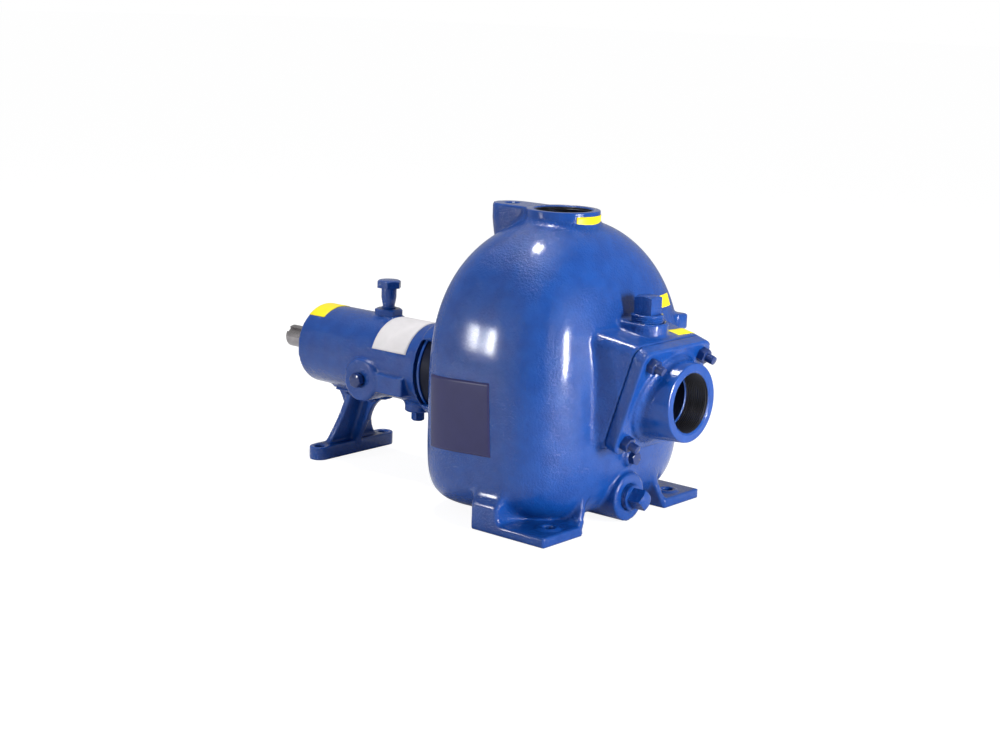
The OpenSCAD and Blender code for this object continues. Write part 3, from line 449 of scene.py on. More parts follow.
def castCasing():
    v, b, h = casing, bosses, volute
    m = Mould((-104, -139, -6), (150, 139, 322), v["step"])
    shell = m.egg(v["halfL"], v["halfW"], v["midZ"], v["up"], v["down"])
    inner = m.egg(v["halfL"] - v["wall"], v["halfW"] - v["wall"], v["midZ"],
                  v["up"] - v["wall"], v["down"] - v["wall"])
    n, t = flangeWays(m)
    body = addFeet(m, join(shell, boxField(m, n), v["bodyFillet"]))
    # discharge ring and lifting lug
    body = join(body, m.rod("z", 280, v["topZ"] - 0.2, (0, 0), v["ringR"]), 7)
    drop = np.maximum(lug["slopeZ"] - m.z, 0)
    ear = m.shape([np.hypot(np.maximum(lug["eyeU"] - m.u, 0), m.y) - lug["endR"] + drop * 0.12, m.u,
                   (lug["backU"] - m.u + drop * 0.4) * 0.93, m.z - v["topZ"],
                   lug["footZ"] - m.z], 1.5)
    body = join(body, ear, 5)
    body = np.maximum(body, m.shape([m.z - (v["topZ"] - 0.1), np.abs(m.y) - feet["clipY"]], 0.4))
    # bosses: fill, drain, gauge and a small pad on the far shoulder
    off = np.maximum(np.maximum(88.5 - m.u, m.u - b["fillU"]), 0)
    fill = m.shape([np.hypot(off, m.y) - b["fillR"],
                    np.abs(m.z - b["fillMid"]) - b["fillHalf"]], 1.2)
    for boss in (fill, m.rod("u", 53, b["drainU"], (0, b["drainZ"]), b["drainR"], edge=1.2),
                 m.rod("u", 88, b["gaugeU"], (0, b["gaugeZ"]), b["gaugeR"]),
                 m.box(60, 84, 98, 115, 188, 205)):
        body = join(body, boss, v["bossFillet"])
    # inside: volute case and suction passage stand in the chamber
    rooms = m.rod("u", h["backU"], h["frontU"], (0, shaftZ), h["outR"])
    rooms = np.minimum(rooms, m.shape([np.abs(m.y) - 41, np.abs(m.z - 142.5) - 53.5,
                                       np.abs(m.u - 30) - 66], 14))
    body = cut(body, cut(inner, rooms, 3), 2)
    body = join(body, m.rod("u", -92, h["backU"], (0, shaftZ), 88), 6)
    for hole in (
            m.rod("z", v["seatZ"], 330, (0, 0), v["portR"], edge=0.5),
            m.rod("z", 262, 300, (0, 0), v["coreR"], edge=0.5),
            m.shape([np.abs(m.y) - 35, np.abs(m.z - 142.5) - 47.5, np.abs(m.u - 75) - 105], 10),
            m.rod("u", -40, -26, (0, shaftZ), h["eyeR"]),
            m.rod("u", -75, -38, (0, shaftZ), h["r"]),
            m.rod("u", -100, -70, (0, shaftZ), h["openR"]),
            m.rod("u", -120, h["backU"], (0, shaftZ), h["plateR"], edge=0.5),
            m.box(-68, -48, -60.8, -26.8, shaftZ, 219.5),
            m.rod("z", 285.5, 330, (lug["eyeU"], 0), lug["eyeR"], edge=0.3),
            m.rod("z", 192, 230, (b["fillU"], 0), 16.9, edge=0.5),
            m.rod("z", 139, 220, (b["fillU"], 0), 14.6, edge=0.5),
            m.rod("u", 82, 120, (0, b["drainZ"]), 13.4, edge=0.5),
            m.shape([np.hypot(m.u - feet["holeU"], np.abs(m.y) - feet["holeY"]) - feet["holeR"],
                     np.abs(m.z - 5) - 20], 0.3)):
        body = cut(body, hole, 1.0)
    return cast("castCasing", body, m, v["keep"])


casingPiece = fix(castCasing(), "casing")


flange = {"step": 1.6, "side": 115.0, "thick": 13.9, "corner": 12.0,
          "spoutR": 40.1, "padR": 48.3, "faceU": 171.3, "seatU": 144.3, "studOffset": 43.5,
          "earY": 25.3, "earT": 37.8}


def castFlange():
    v = flange
    m = Mould((100, -62, 74), (180, 62, 204), v["step"])
    n, t = flangeWays(m)
    mid = (0, casing["jointZ"])
    half = v["side"] / 2
    plate = m.shape([m.shape([np.abs(m.y) - half, np.abs(t) - half], v["corner"]),
                     np.abs(n + v["thick"] / 2) - v["thick"] / 2], 0.9)
    pad = m.shape([np.hypot(m.y, t) - v["padR"], np.abs(n + 2) - 5], 1.5)
    spout = m.rod("u", 105, v["faceU"] - 0.3, mid, v["spoutR"] + 5, v["spoutR"])
    spout = np.maximum(spout, -v["thick"] - n)
    body = join(join(plate, pad, 2), spout, 6)
    for s in (-1, 1):   # ears of the check valve pin
        ear = m.shape([np.abs(m.y - s * v["earY"]) - 4, np.abs(n + 18) - 7,
                       np.abs(t - v["earT"]) - 5.8], 1)
        body = join(body, ear, 2)
    for hole in (m.rod("u", v["seatU"], 190, mid, casing["portR"], edge=0.5),
                 m.rod("u", 70, 150, mid, casing["coreR"], edge=0.5),
                 m.shape([np.hypot(n + 21.1, t - 38) - 3.1, np.abs(m.y) - 40], 0.3)):
        body = cut(body, hole, 1.0)
    for sy in (-1, 1):
        for st in (-1, 1):
            across = np.hypot(m.y - sy * v["studOffset"], t - st * v["studOffset"])
            body = cut(body, m.shape([across - 5, np.abs(n) - 30], 0.3), 0.8)
    return cast("castFlange", body, m)


fix(castFlange(), "suction_flange")


housing = {"step": 1.9, "tubeR": 46.0, "endU": -346.5, "bellU": -158.0,
           "shoulderR": 56.0, "bellR": 60.0, "bellInR": 52.0, "backU": -101.6, "faceU": -90.6,
           "discR": 80.0, "boreR": 31.05, "ventU": -246.0, "ventZ": 170.0, "drainU": -197.0,
           "drainZ": 66.5, "levelU": -240.0, "levelY": -51.8, "levelZ": shaftZ - 20.8,
           "saddleU": -283.0}


def castHousing():
    v = housing
    m = Mould((-352, -86, 36), (-84, 86, 208), v["step"])
    mid = (0, shaftZ)
    levelU, levelZ = v["levelU"], v["levelZ"]
    body = m.rod("u", v["endU"], v["bellU"] + 6, mid, v["tubeR"], edge=1.5)
    bell = m.rod("u", v["bellU"] - 2, v["backU"] + 3, mid, v["shoulderR"], v["bellR"], edge=7)
    for more, fillet in (
            (bell, 5),
            (m.rod("u", v["backU"], v["faceU"], mid, v["discR"], edge=1.5), 5),
            (m.box(levelU, -177, -50, 0, levelZ - 11, levelZ + 11, 0.8), 1.5),
            (m.rod("y", v["levelY"], 0, (levelU, levelZ), 24.5, edge=0.8), 1.5),
            (m.rod("z", shaftZ, v["ventZ"], (v["ventU"], 0), 16), 4),
            (m.rod("z", v["drainZ"], shaftZ, (v["drainU"], 0), 15), 5),
            (m.box(v["saddleU"] - 38, v["saddleU"] + 41, -13, 13, 76, shaftZ), 4)):
        body = join(body, more, fillet)
    # windows through both sides of the bell
    low = 37 + np.clip((m.u + 150) / 40, 0, 1) * 6
    window = m.shape([np.abs(m.z - shaftZ) - low, np.abs(m.u + 131.5) - 24.5], 6)
    window = np.maximum(window, 40 - np.abs(m.y))
    for hole in (m.rod("u", -370, v["bellU"] + 2, mid, v["boreR"], edge=0.3),
                 m.rod("u", v["bellU"], -70, mid, v["bellInR"], edge=2), window,
                 m.rod("z", shaftZ, 190, (v["ventU"], 0), 8.05, edge=0.3),
                 m.rod("z", 60, shaftZ, (v["drainU"], 0), 7.05, edge=0.3),
                 m.rod("y", -80, -30, (levelU, levelZ), 6.6, edge=0.3)):
        body = cut(body, hole, 1.2)
    return cast("castHousing", body, m)


fix(castHousing(), "bearing_housing")


pedestal = {"step": 1.4, "barU": -301.0, "barT": 15.8, "barHalf": 11.5,
            "holeY": 52.5, "holeR": 6, "seatR": 9.6, "saddleZ": 76.0, "saddleT": 3.5,
            "rib": 8.0, "lean": 0.347}


def castPedestal():
    v = pedestal
    m = Mould((-334, -68, -5), (-232, 68, 82), v["step"])
    halfT, halfRib = v["barT"] / 2, v["rib"] / 2
    reachY = np.maximum(np.abs(m.y) - v["holeY"], 0)
    bar = m.shape([np.hypot(m.u - v["barU"], reachY) - v["barHalf"],
                   np.abs(m.z - halfT) - halfT], 1.5)
    saddle = m.box(-318, -245, -12, 12, v["saddleZ"] - v["saddleT"], v["saddleZ"], 1.2)
    rise = np.clip((m.z - v["barT"]) / (v["saddleZ"] - v["barT"]), 0, 1)
    faceU = v["lean"] * m.z - 304.8   # the web leans towards the pump as it rises
    near = 25.5 + 12.5 * (1 - rise) ** 2
    far = 18 + 20 * (1 - rise) ** 3
    web = m.shape([np.abs(m.u - faceU + halfRib) * 0.945 - halfRib,
                   np.where(m.y < 0, -m.y - near, m.y - far) * 0.93, np.abs(m.z - 43) - 32], 1.2)
    arch = np.minimum((m.u + 286 - (m.z - 21) * 0.5) * 0.89,
                      np.maximum(35.5 - np.hypot(m.u + 238, m.z - 38), 42 - m.z))
    rib = m.shape([np.abs(m.y) - halfRib, faceU - 4 - m.u, arch, m.u + 239,
                   np.abs(m.z - 44) - 32], 1.2)
    back = m.shape([np.abs(m.y) - halfRib, m.u - faceU, 38.7 - np.hypot(m.u + 349, m.z - 45),
                    -326 - m.u, np.abs(m.z - 60) - 16], 1.2)
    body = join(join(bar, web, 3), join(join(saddle, rib, 5), back, 3), 3)
    for s in (-1, 1):
        centre = (v["barU"], s * v["holeY"])
        body = cut(body, m.rod("z", -9, 40, centre, v["holeR"], edge=0.3), 0.8)
        body = cut(body, m.rod("z", v["barT"] - 0.8, 40, centre, v["seatR"], edge=0.2), 0.3)
    return cast("castPedestal", body, m)


fix(castPedestal(), "pedestal_foot")
print("castings done")


# Turned and pressed pieces are rows of points joined by faces, in mm.
def rowShape(rows, ring=False):   # a ring's last row joins its first; a rod has a cap at each end
    around = len(rows[0])
    points = [point for row in rows for point in row]
    faces = []
    for k in range(len(rows) if ring else len(rows) - 1):
        low, high = k * around, (k + 1) % len(rows) * around
        for i in range(around):
            j = (i + 1) % around
            faces.append((low + i, low + j, high + j, high + i))
    if not ring:
        foot, tip, last = len(points), len(points) + 1, (len(rows) - 1) * around
        points += [(0, 0, rows[0][0][2]), (0, 0, rows[-1][0][2])]
        for i in range(around):
            j = (i + 1) % around
            faces += [(foot, j, i), (tip, last + i, last + j)]
    return np.array(points), faces


def circles(profile, around):   # a row of points for each (radius, height)
    angles = np.linspace(0, 2 * math.pi, around, endpoint=False)
    return [[(r * math.cos(a), r * math.sin(a), h) for a in angles] for r, h in profile]


def turnedShape(profile, around=64):   # outline from foot to tip
    return rowShape(circles(profile, around))


def barShape(sides, acrossFlats, height, foot=0.0, crown=0.97, slope=0.55):   # wrench head
    around = sides * 8
    step = 2 * math.pi / sides
    flat = acrossFlats / 2
    corner, circle = flat / math.cos(step / 2) * 0.975, flat * crown
    spokes = []
    for i in range(around):
        a = 2 * math.pi * i / around
        off = (a + step / 2) % step - step / 2
        spokes.append((a, min(flat / math.cos(off), corner)))
    rows = [[(r, a, foot) for a, r in spokes],
            [(r, a, height - max(0.0, r - circle) * slope - 0.25) for a, r in spokes],
            [(min(r, circle) - 0.35, a, height) for a, r in spokes]]
    return rowShape([[(r * math.cos(a), r * math.sin(a), h) for r, a, h in row] for row in rows])


def gather(parts):   # several shapes as one
    points, faces, start = [], [], 0
    for p, f in parts:
        points.append(np.asarray(p, float))
        faces += [tuple(i + start for i in face) for face in f]
        start += len(p)
    return np.concatenate(points), faces


def placed(shape, origin, direction, turn=0.0):   # the shape's own z points along the direction
    along = Vector(direction).normalized()
    side = Vector((0, 1, 0)) if abs(along.y) < 0.9 else Vector((1, 0, 0))
    up = along.cross(side).normalized()
    side = up.cross(along).normalized()
    a = side * math.cos(turn) + up * math.sin(turn)
    b = up * math.cos(turn) - side * math.sin(turn)
    return np.asarray(shape[0], float) @ np.array([a, b, along]) + np.array(origin, float), shape[1]


def hardEdges(piece, degrees=32):
    piece.data.set_sharp_from_angle(angle=math.radians(degrees))
    return piece


ports = {"faceR": 30.9, "bevel": 1.3, "edge": 1.0, "ringR": 38.5, "neckR": 41.6}
# the bell's lip, and the wall thickness of the painted-shade sleeves
lipAndShadeSleeves = {"lipU": -153, "lipIn": 49.2, "lipOut": 51.7, "lipLong": 3, "thick": 0.6}


def fixRing(name, profile, around, origin, direction, finish):   # closed outline, turned
    shape = placed(rowShape(circles(profile, around), ring=True), origin, direction)
    fix(hardEdges(meshPiece(name, *shape, finish)))


def makePorts():   # machined faces of the discharge ring and the suction spout
    v = ports
    top, out, edge = casing["topZ"], v["ringR"], v["edge"]
    fixRing("dischargeRing", [
        (v["faceR"], 286), (out, 286), (out, top - edge), (out - edge * 0.3, top - edge * 0.3),
        (out - edge, top), (v["faceR"] + v["bevel"], top), (v["faceR"], top - v["bevel"])],
        128, (0, 0, 0), (0, 0, 1), smoothEnamel)
    face, neck = flange["faceU"], v["neckR"]
    fixRing("suctionMouth", [
        (v["faceR"], 145.3), (neck, 145.3), (neck + 0.1, 149.3), (40.35, face - 1.6),
        (40.0, face - 0.5), (39.2, face), (v["faceR"] + v["bevel"] + 0.4, face),
        (v["faceR"], face - v["bevel"])],
        128, (0, 0, casing["jointZ"]), (1, 0, 0), smoothEnamel)


def makeLipAndShadeSleeves():   # the lip seen through the bell's windows, and painted shade: near-black sleeves deep in both passages, where shade falls
    v = lipAndShadeSleeves
    low, high, far = v["lipIn"], v["lipOut"], v["lipLong"]
    fixRing("bellLip", [(low, 0), (high, 0), (high, far), (low, far)], 96,
              (v["lipU"], 0, shaftZ), (1, 0, 0), smoothEnamel)
    high = casing["coreR"] - 0.05
    low = high - v["thick"]
    for name, origin, direction, far in (
            ("suctionLining", (100, 0, casing["jointZ"]), (1, 0, 0), 43.9),
            ("dischargeLining", (0, 0, 262), (0, 0, 1), 26.2)):
        fixRing(name, [(low, 0), (high, 0), (high, far), (low, far)], 96, origin, direction,
                  paintedShadeEnamel)


makePorts()
makeLipAndShadeSleeves()


def newTree(name, inputs):
    tree = bpy.data.node_groups.new(name, "GeometryNodeTree")
    for label, kind, value in inputs:
        socket = tree.interface.new_socket(label, in_out="INPUT", socket_type="NodeSocket" + kind)
        if value is not None:
            socket.default_value = value
    tree.interface.new_socket("Geometry", in_out="OUTPUT", socket_type="NodeSocketGeometry")
    maker = NodeMaker(tree)
    return tree, maker, maker.add("NodeGroupInput")


def sprout(name, tree, values):   # an empty piece with the tree on it and its inputs set
    piece = bpy.data.objects.new(name, bpy.data.meshes.new(name))
    bpy.context.scene.collection.objects.link(piece)
    modifier = piece.modifiers.new("grow", "NODES")
    modifier.node_group = tree
    for item in tree.interface.items_tree:
        if item.in_out == "INPUT" and item.name in values:
            modifier[item.identifier] = values[item.name]
    return piece


def threadTree():   # a helical thread on the inside of a round wall
    tree, maker, given = newTree("threadSleeve", [
        ("Radius", "Float", 0.03), ("Depth", "Float", 0.0012), ("Pitch", "Float", 0.0022),
        ("Length", "Float", 0.027), ("Rows", "Int", 100), ("Move", "Vector", None),
        ("Turn", "Vector", None), ("Finish", "Material", None)])
    grid = maker.add("GeometryNodeMeshGrid", None,
                     {"Size X": 1.0, "Size Y": 1.0, "Vertices X": 97, "Vertices Y": given["Rows"]})
    place = maker.add("GeometryNodeInputPosition")["Position"]
    parts = maker.add("ShaderNodeSeparateXYZ", None, {"Vector": place})
    angle = (parts["X"] + 0.5) * (2 * math.pi)
    height = (parts["Y"] + 0.5) * given["Length"]
    phase = (height / given["Pitch"] + (parts["X"] + 0.5)).calc("FRACT")
    crest = (phase * 2 - 1).calc("ABSOLUTE")
    nearEnd = maker.span(parts["Y"].calc("ABSOLUTE"), 0.5, 0.455)
    radius = given["Radius"] - crest * given["Depth"] * nearEnd
    spot = maker.add("ShaderNodeCombineXYZ", None, {
        "X": angle.calc("COSINE") * radius, "Y": angle.calc("SINE") * radius,
        "Z": height})["Vector"]
    bent = maker.add("GeometryNodeSetPosition", None, {"Geometry": grid["Mesh"], "Position": spot})
    sealed = maker.add("GeometryNodeMergeByDistance", None,
                       {"Geometry": bent["Geometry"], "Distance": 0.00002})
    out = maker.add("GeometryNodeTransform", None, {
        "Geometry": sealed["Geometry"], "Translation": given["Move"], "Rotation": given["Turn"]})
    smooth = maker.add("GeometryNodeSetShadeSmooth", None, {0: out["Geometry"]})
    finishTree(maker, given, smooth)
    return tree


def finishTree(maker, given, made):   # every tree ends in real geometry with its finish set
    real = maker.add("GeometryNodeRealizeInstances", None, {"Geometry": made[0]})
    dressed = maker.add("GeometryNodeSetMaterial", None,
                        {"Geometry": real["Geometry"], "Material": given["Finish"]})
    maker.add("NodeGroupOutput", None, {"Geometry": dressed["Geometry"]})


threads = {"clear": 0.1, "depth": 1.2, "pitch": 2.21, "length": 26.2, "rows": 96, "wall": 0.8,
           "suctionU": 143.8, "dischargeZ": 288.0}


def makeThreads():
    v = threads
    tree = threadTree()
    for name, place, turn in (
            ("suctionThread", (v["suctionU"], 0, casing["jointZ"]), (0, math.pi / 2, 0)),
            ("dischargeThread", (0, 0, v["dischargeZ"]), (0, 0, 0))):
        piece = sprout(name, tree, {
            "Radius": (casing["portR"] + v["clear"]) * mm, "Depth": v["depth"] * mm,
            "Pitch": v["pitch"] * mm, "Length": v["length"] * mm, "Rows": v["rows"],
            "Finish": threadIron, "Move": metres(*place), "Turn": turn})
        wall = piece.modifiers.new("wall", "SOLIDIFY")
        wall.thickness = v["wall"] * mm
        wall.offset = 1.0
        settle(piece)
        piece.data.materials.clear()
        piece.data.materials.append(threadIron)
        bm = bmesh.new()
        bm.from_mesh(piece.data)
        bmesh.ops.recalc_face_normals(bm, faces=bm.faces)
        bm.to_mesh(piece.data)
        bm.free()
        fix(piece, slotName="cast_iron")


makeThreads()
print("ports and threads done")


def copyTree(name, inputs, points):   # copies of one source piece on the points
    tree, maker, given = newTree(name, inputs + [
        ("Source", "Object", None), ("Move", "Vector", None), ("Turn", "Vector", None),
        ("Finish", "Material", None)])
    spots, spin = points(maker, given)
    source = maker.add("GeometryNodeObjectInfo", None, {"Object": given["Source"]})
    copies = maker.add("GeometryNodeInstanceOnPoints", None, {
        "Points": spots, "Instance": source["Geometry"], "Rotation": spin})
    out = maker.add("GeometryNodeTransform", None, {
        "Geometry": copies["Instances"], "Translation": given["Move"], "Rotation": given["Turn"]})
    finishTree(maker, given, out)
    return tree


def circlePoints(maker, given):   # on a circle, each copy turned by chance
    ring = maker.add("GeometryNodeMeshCircle", None,
                     {"Vertices": given["Count"], "Radius": given["Radius"]})
    phase = maker.add("ShaderNodeCombineXYZ", None, {"Z": given["Phase"]})["Vector"]
    turned = maker.add("GeometryNodeTransform", None, {"Geometry": ring["Mesh"], "Rotation": phase})
    chance = maker.add("FunctionNodeRandomValue", {"data_type": "FLOAT"},
                       {2: 0.0, 3: given["Spread"], "Seed": given["Seed"]})[1]
    return turned["Geometry"], maker.add("ShaderNodeCombineXYZ", None, {"Z": chance})["Vector"]


def gridPoints(maker, given):   # at a rectangle's four corners
    grid = maker.add("GeometryNodeMeshGrid", None, {
        "Size X": given["Along"], "Size Y": given["Across"], "Vertices X": 2, "Vertices Y": 2})
    return grid["Mesh"], (math.pi, 0, 0.4)


screws = {"boltAf": 13.0, "boltHead": 5.5, "boltR": 4.0, "boltCircle": 72.0, "boltCount": 8,
          "boltGrip": 32, "nutAf": 14.3, "nutH": 8.0, "studR": 4.6, "studOut": 17.0,
          "saddleAf": 11.0, "saddleHead": 4.5, "saddleR": 3.5, "saddleGrip": 17,
          "saddleLong": 32.0, "saddleWide": 20.0, "saddleZ": 72.5, "saddleShift": 5}


def boltShape(af, head, r, grip):
    washer = turnedShape([(af * 0.5, -0.05), (af * 0.5, 0.6)], 32)
    bar = barShape(6, af, head, 0.4)
    shank = turnedShape([(r * 0.96, -grip + 1), (r, -grip + 2), (r, 0.2)], 24)
    return gather([washer, bar, shank])


def nutShape(af, high, r, out, pitch=0.62):
    rings = [(r * (0.93 if k % 2 else 1.0), high - 1 + k * pitch)
             for k in range(int((out - high) / pitch))]
    tip = [(r * 0.98, -6)] + rings + [(r - 0.3, out - 0.3), (r - 1, out)]
    return gather([barShape(6, af, high, 0.02), turnedShape(tip, 32)])


def growCopies(name, tree, shape, values, *replaced):   # the template is at the origin, unseen
    mesh = bpy.data.meshes.new(name + "Template")
    mesh.from_pydata([tuple(p) for p in np.asarray(shape[0]) * mm], [], shape[1])
    template = bpy.data.objects.new(name + "Template", mesh)
    piece = settle(sprout(name, tree, dict(values, Source=template)))
    bpy.data.objects.remove(template)
    fix(hardEdges(piece), *replaced)


def makeScrews():
    v = screws
    circle = copyTree("copiesOnCircle", [
        ("Count", "Int", 8), ("Radius", "Float", 0.07), ("Phase", "Float", 0.0),
        ("Spread", "Float", 1.0), ("Seed", "Int", 3)], circlePoints)
    growCopies("bracketBolts", circle,
               boltShape(v["boltAf"], v["boltHead"], v["boltR"], v["boltGrip"]), {
                   "Count": v["boltCount"], "Radius": v["boltCircle"] * mm,
                   "Phase": math.pi / 8, "Spread": 1.0, "Seed": 5,
                   "Move": metres(housing["backU"], 0, shaftZ),
                   "Turn": (0, -math.pi / 2, 0), "Finish": paint}, "bracket_bolts")
    # the flange nuts take the bolt enamel, with painted shade and dark reflections
    growCopies("flangeNuts", circle,
               nutShape(v["nutAf"], v["nutH"], v["studR"], v["studOut"]), {
                   "Count": 4, "Radius": flange["studOffset"] * math.sqrt(2) * mm,
                   "Phase": math.pi / 4, "Spread": 1.0, "Seed": 11,
                   "Move": metres(casing["jointU"], 0, casing["jointZ"]),
                   "Turn": (0, math.pi / 2 + casing["tilt"], 0), "Finish": boltEnamel},
               "flange_nuts", "flange_studs")
    growCopies("saddleScrews", copyTree("copiesOnGrid", [
        ("Along", "Float", 0.069), ("Across", "Float", 0.024)], gridPoints),
               boltShape(v["saddleAf"], v["saddleHead"], v["saddleR"], v["saddleGrip"]), {
                   "Along": v["saddleLong"] * mm, "Across": v["saddleWide"] * mm,
                   "Move": metres(housing["saddleU"] + v["saddleShift"], 0, v["saddleZ"]),
                   "Finish": paint}, "pedestal_screws")


makeScrews()
print("screws done")


plugs = {   # thread radius, body's top, wrench head's sides, size and top, depth, place and way
    "fillPlug": {"r": 16.5, "bodyTop": 7.4, "sides": 4, "af": 20.6, "headTop": 25.8, "depth": 16.8,
                 "at": (bosses["fillU"], 0, bosses["fillMid"] + bosses["fillHalf"]),
                 "way": (0, 0, 1), "turn": 0.06},
    "drainPlug": {"r": 13.2, "bodyTop": 4.8, "sides": 4, "af": 15.9, "headTop": 20.8, "depth": 12.8,
                  "at": (bosses["drainU"], 0, bosses["drainZ"]), "way": (1, 0, 0),
                  "turn": math.pi / 4},
    "gaugePlug": {"r": 6.5, "bodyTop": 0.9, "sides": 6, "af": 12.7, "headTop": 6.4, "depth": 9.5,
                  "at": (bosses["gaugeU"], 0, bosses["gaugeZ"]), "way": (1, 0, 0), "turn": 0.2},
    "levelPlug": {"r": 6.5, "bodyTop": 2.0, "sides": 6, "af": 14.8, "headTop": 7.9, "depth": 9.5,
                  "at": (housing["levelU"], housing["levelY"], housing["levelZ"]),
                  "way": (0, -1, 0), "turn": 0.35},
    "oilDrainPlug": {"r": 6.9, "bodyTop": 1.5, "sides": 4, "af": 11.1, "headTop": 10.9,
                     "depth": 9.5, "at": (housing["drainU"], 0, housing["drainZ"]),
                     "way": (0, 0, -1), "turn": 0.3},
}


def pipePlug(v):   # tapered body with rings for a thread, and a wrench head
    r, top = v["r"], v["bodyTop"]
    rows = [(r * 0.95, -v["depth"])]
    k = 0
    z = -v["depth"] + 1
    while z < top - 2.2:
        rows.append((r * (0.955 if k % 2 else 1.0), z))
        z += 1.1
        k += 1
    rows += [(r, top - 2.0), (r, top - 0.8), (r - 0.8, top), (r * 0.6, top)]
    return gather([turnedShape(rows, 64),
                   barShape(v["sides"], v["af"], v["headTop"], top - 0.6, 1.02, 0.5)])


def makePlugs():
    for name, finish, body, node in (
            ("fillPlug", paint, "fill_plug", "fill_plug"),
            ("drainPlug", paint, "pump_body", "drain_plug"),
            # gauge and level plugs take the bolt enamel, with painted shade and dark reflections
            ("gaugePlug", boltEnamel, "pump_body", "side_plug"),
            ("levelPlug", boltEnamel, "pump_body", "oil_level_plug"),
            ("oilDrainPlug", paint, "pump_body", "oil_drain_plug")):
        v = plugs[name]
        shape = placed(pipePlug(v), v["at"], v["way"], v["turn"])
        fix(hardEdges(meshPiece(name, *shape, finish)), node, body=body)


makePlugs()


vent = {"hexAf": 28.6, "hexH": 7.6, "neckR": 5.6, "footR": 6.7, "topR": 8.6, "column": 24.4,
        "capAf": 25.4, "capH": 8.0, "turn": 0.55, "capTurn": 0.1}


def makeVent():   # bushing, waisted column and hex cap
    v = vent
    hexTop, foot, top = v["hexH"], v["footR"], v["topR"]
    capFoot = hexTop + v["column"]
    bushing = gather([barShape(6, v["hexAf"], hexTop, 0.1, 0.96),
                      turnedShape([(7.9, -11.5), (7.9, 1)], 48)])
    rise = [(v["neckR"] - 0.2, hexTop - 6), (v["neckR"], hexTop + 0.2), (foot + 1.6, hexTop + 0.2),
            (foot + 1.8, hexTop + 1.4), (foot + 0.4, hexTop + 2.2)]
    for k in range(9):   # widens quickly, then runs straight
        f = k / 8
        rise.append((foot + (top - foot) * min(1.0, 2.2 * f), hexTop + 3 + f * (v["column"] - 4.2)))
    rise += [(top - 0.4, capFoot - 0.4), (6.0, capFoot)]
    cap = barShape(6, v["capAf"], capFoot + v["capH"] - 0.1, capFoot - 0.5, 0.93)
    for name, shape, turn, degrees, node in (
            ("ventBushing", bushing, v["turn"], 32, "vent_bushing"),
            ("ventColumn", turnedShape(rise, 64), 0, 40, "vent_body"),
            ("ventCap", cap, v["capTurn"], 32, "vent_cap")):
        shape = placed(shape, (housing["ventU"], 0, housing["ventZ"]), (0, 0, 1), turn)
        fix(hardEdges(meshPiece(name, *shape, paint), degrees), node)


makeVent()
print("plugs and vent done")


# Labels are thin bare stock lying on the surface under them.
def sheetShape(spots, thick=0.35, lift=0.12):   # rows of points on a surface, made a closed slab
    spots = np.asarray(spots, float)
    rows, columns = spots.shape[:2]
    normal = np.cross(np.gradient(spots, axis=1), np.gradient(spots, axis=0))
    normal /= np.linalg.norm(normal, axis=2, keepdims=True)
    low = spots + normal * -0.6
    high = spots + normal * (lift + thick)
    points = np.concatenate([low.reshape(-1, 3), high.reshape(-1, 3)])
    n = rows * columns
    faces = []
    for r in range(rows - 1):
        for c in range(columns - 1):
            a, b = r * columns + c, r * columns + c + 1
            d, e = a + columns, b + columns
            faces.append((n + a, n + b, n + e, n + d))
            faces.append((a, d, e, b))
    index = np.arange(n).reshape(rows, columns)
    edge = np.concatenate([index[0], index[1:, -1], index[-1, -2::-1], index[-2:0:-1, 0]]).tolist()
    for a, b in zip(edge, edge[1:] + edge[:1]):
        faces.append((a, b, n + b, n + a))
    return points, faces


labels = {
    "side": {"u": -20.5, "z": 113.2, "wide": 85.0, "high": 75.0, "lean": math.radians(3.2)},
    "name": {"u0": -229.0, "u1": -178.0, "from": 20.0, "to": 118.0},
    "oil": {"u0": -345.2, "u1": -321.0, "from": 52.0, "to": 106.0},
    "ring": {"from": -31.0, "to": 42.0, "z0": 294.0, "z1": 311.2},
    "fill": {"y0": 38.0, "y1": 82.0, "z0": 217.2, "z1": 229.4},
    "box": {"u": 127.5, "y": 40.0, "wide": 14.0, "long": 28.0, "lean": math.radians(4)},
}


def patch(across, up, at):   # rows of points; each range is its first, last and count
    return [[at(a, b) for a in np.linspace(*across)] for b in np.linspace(*up)]


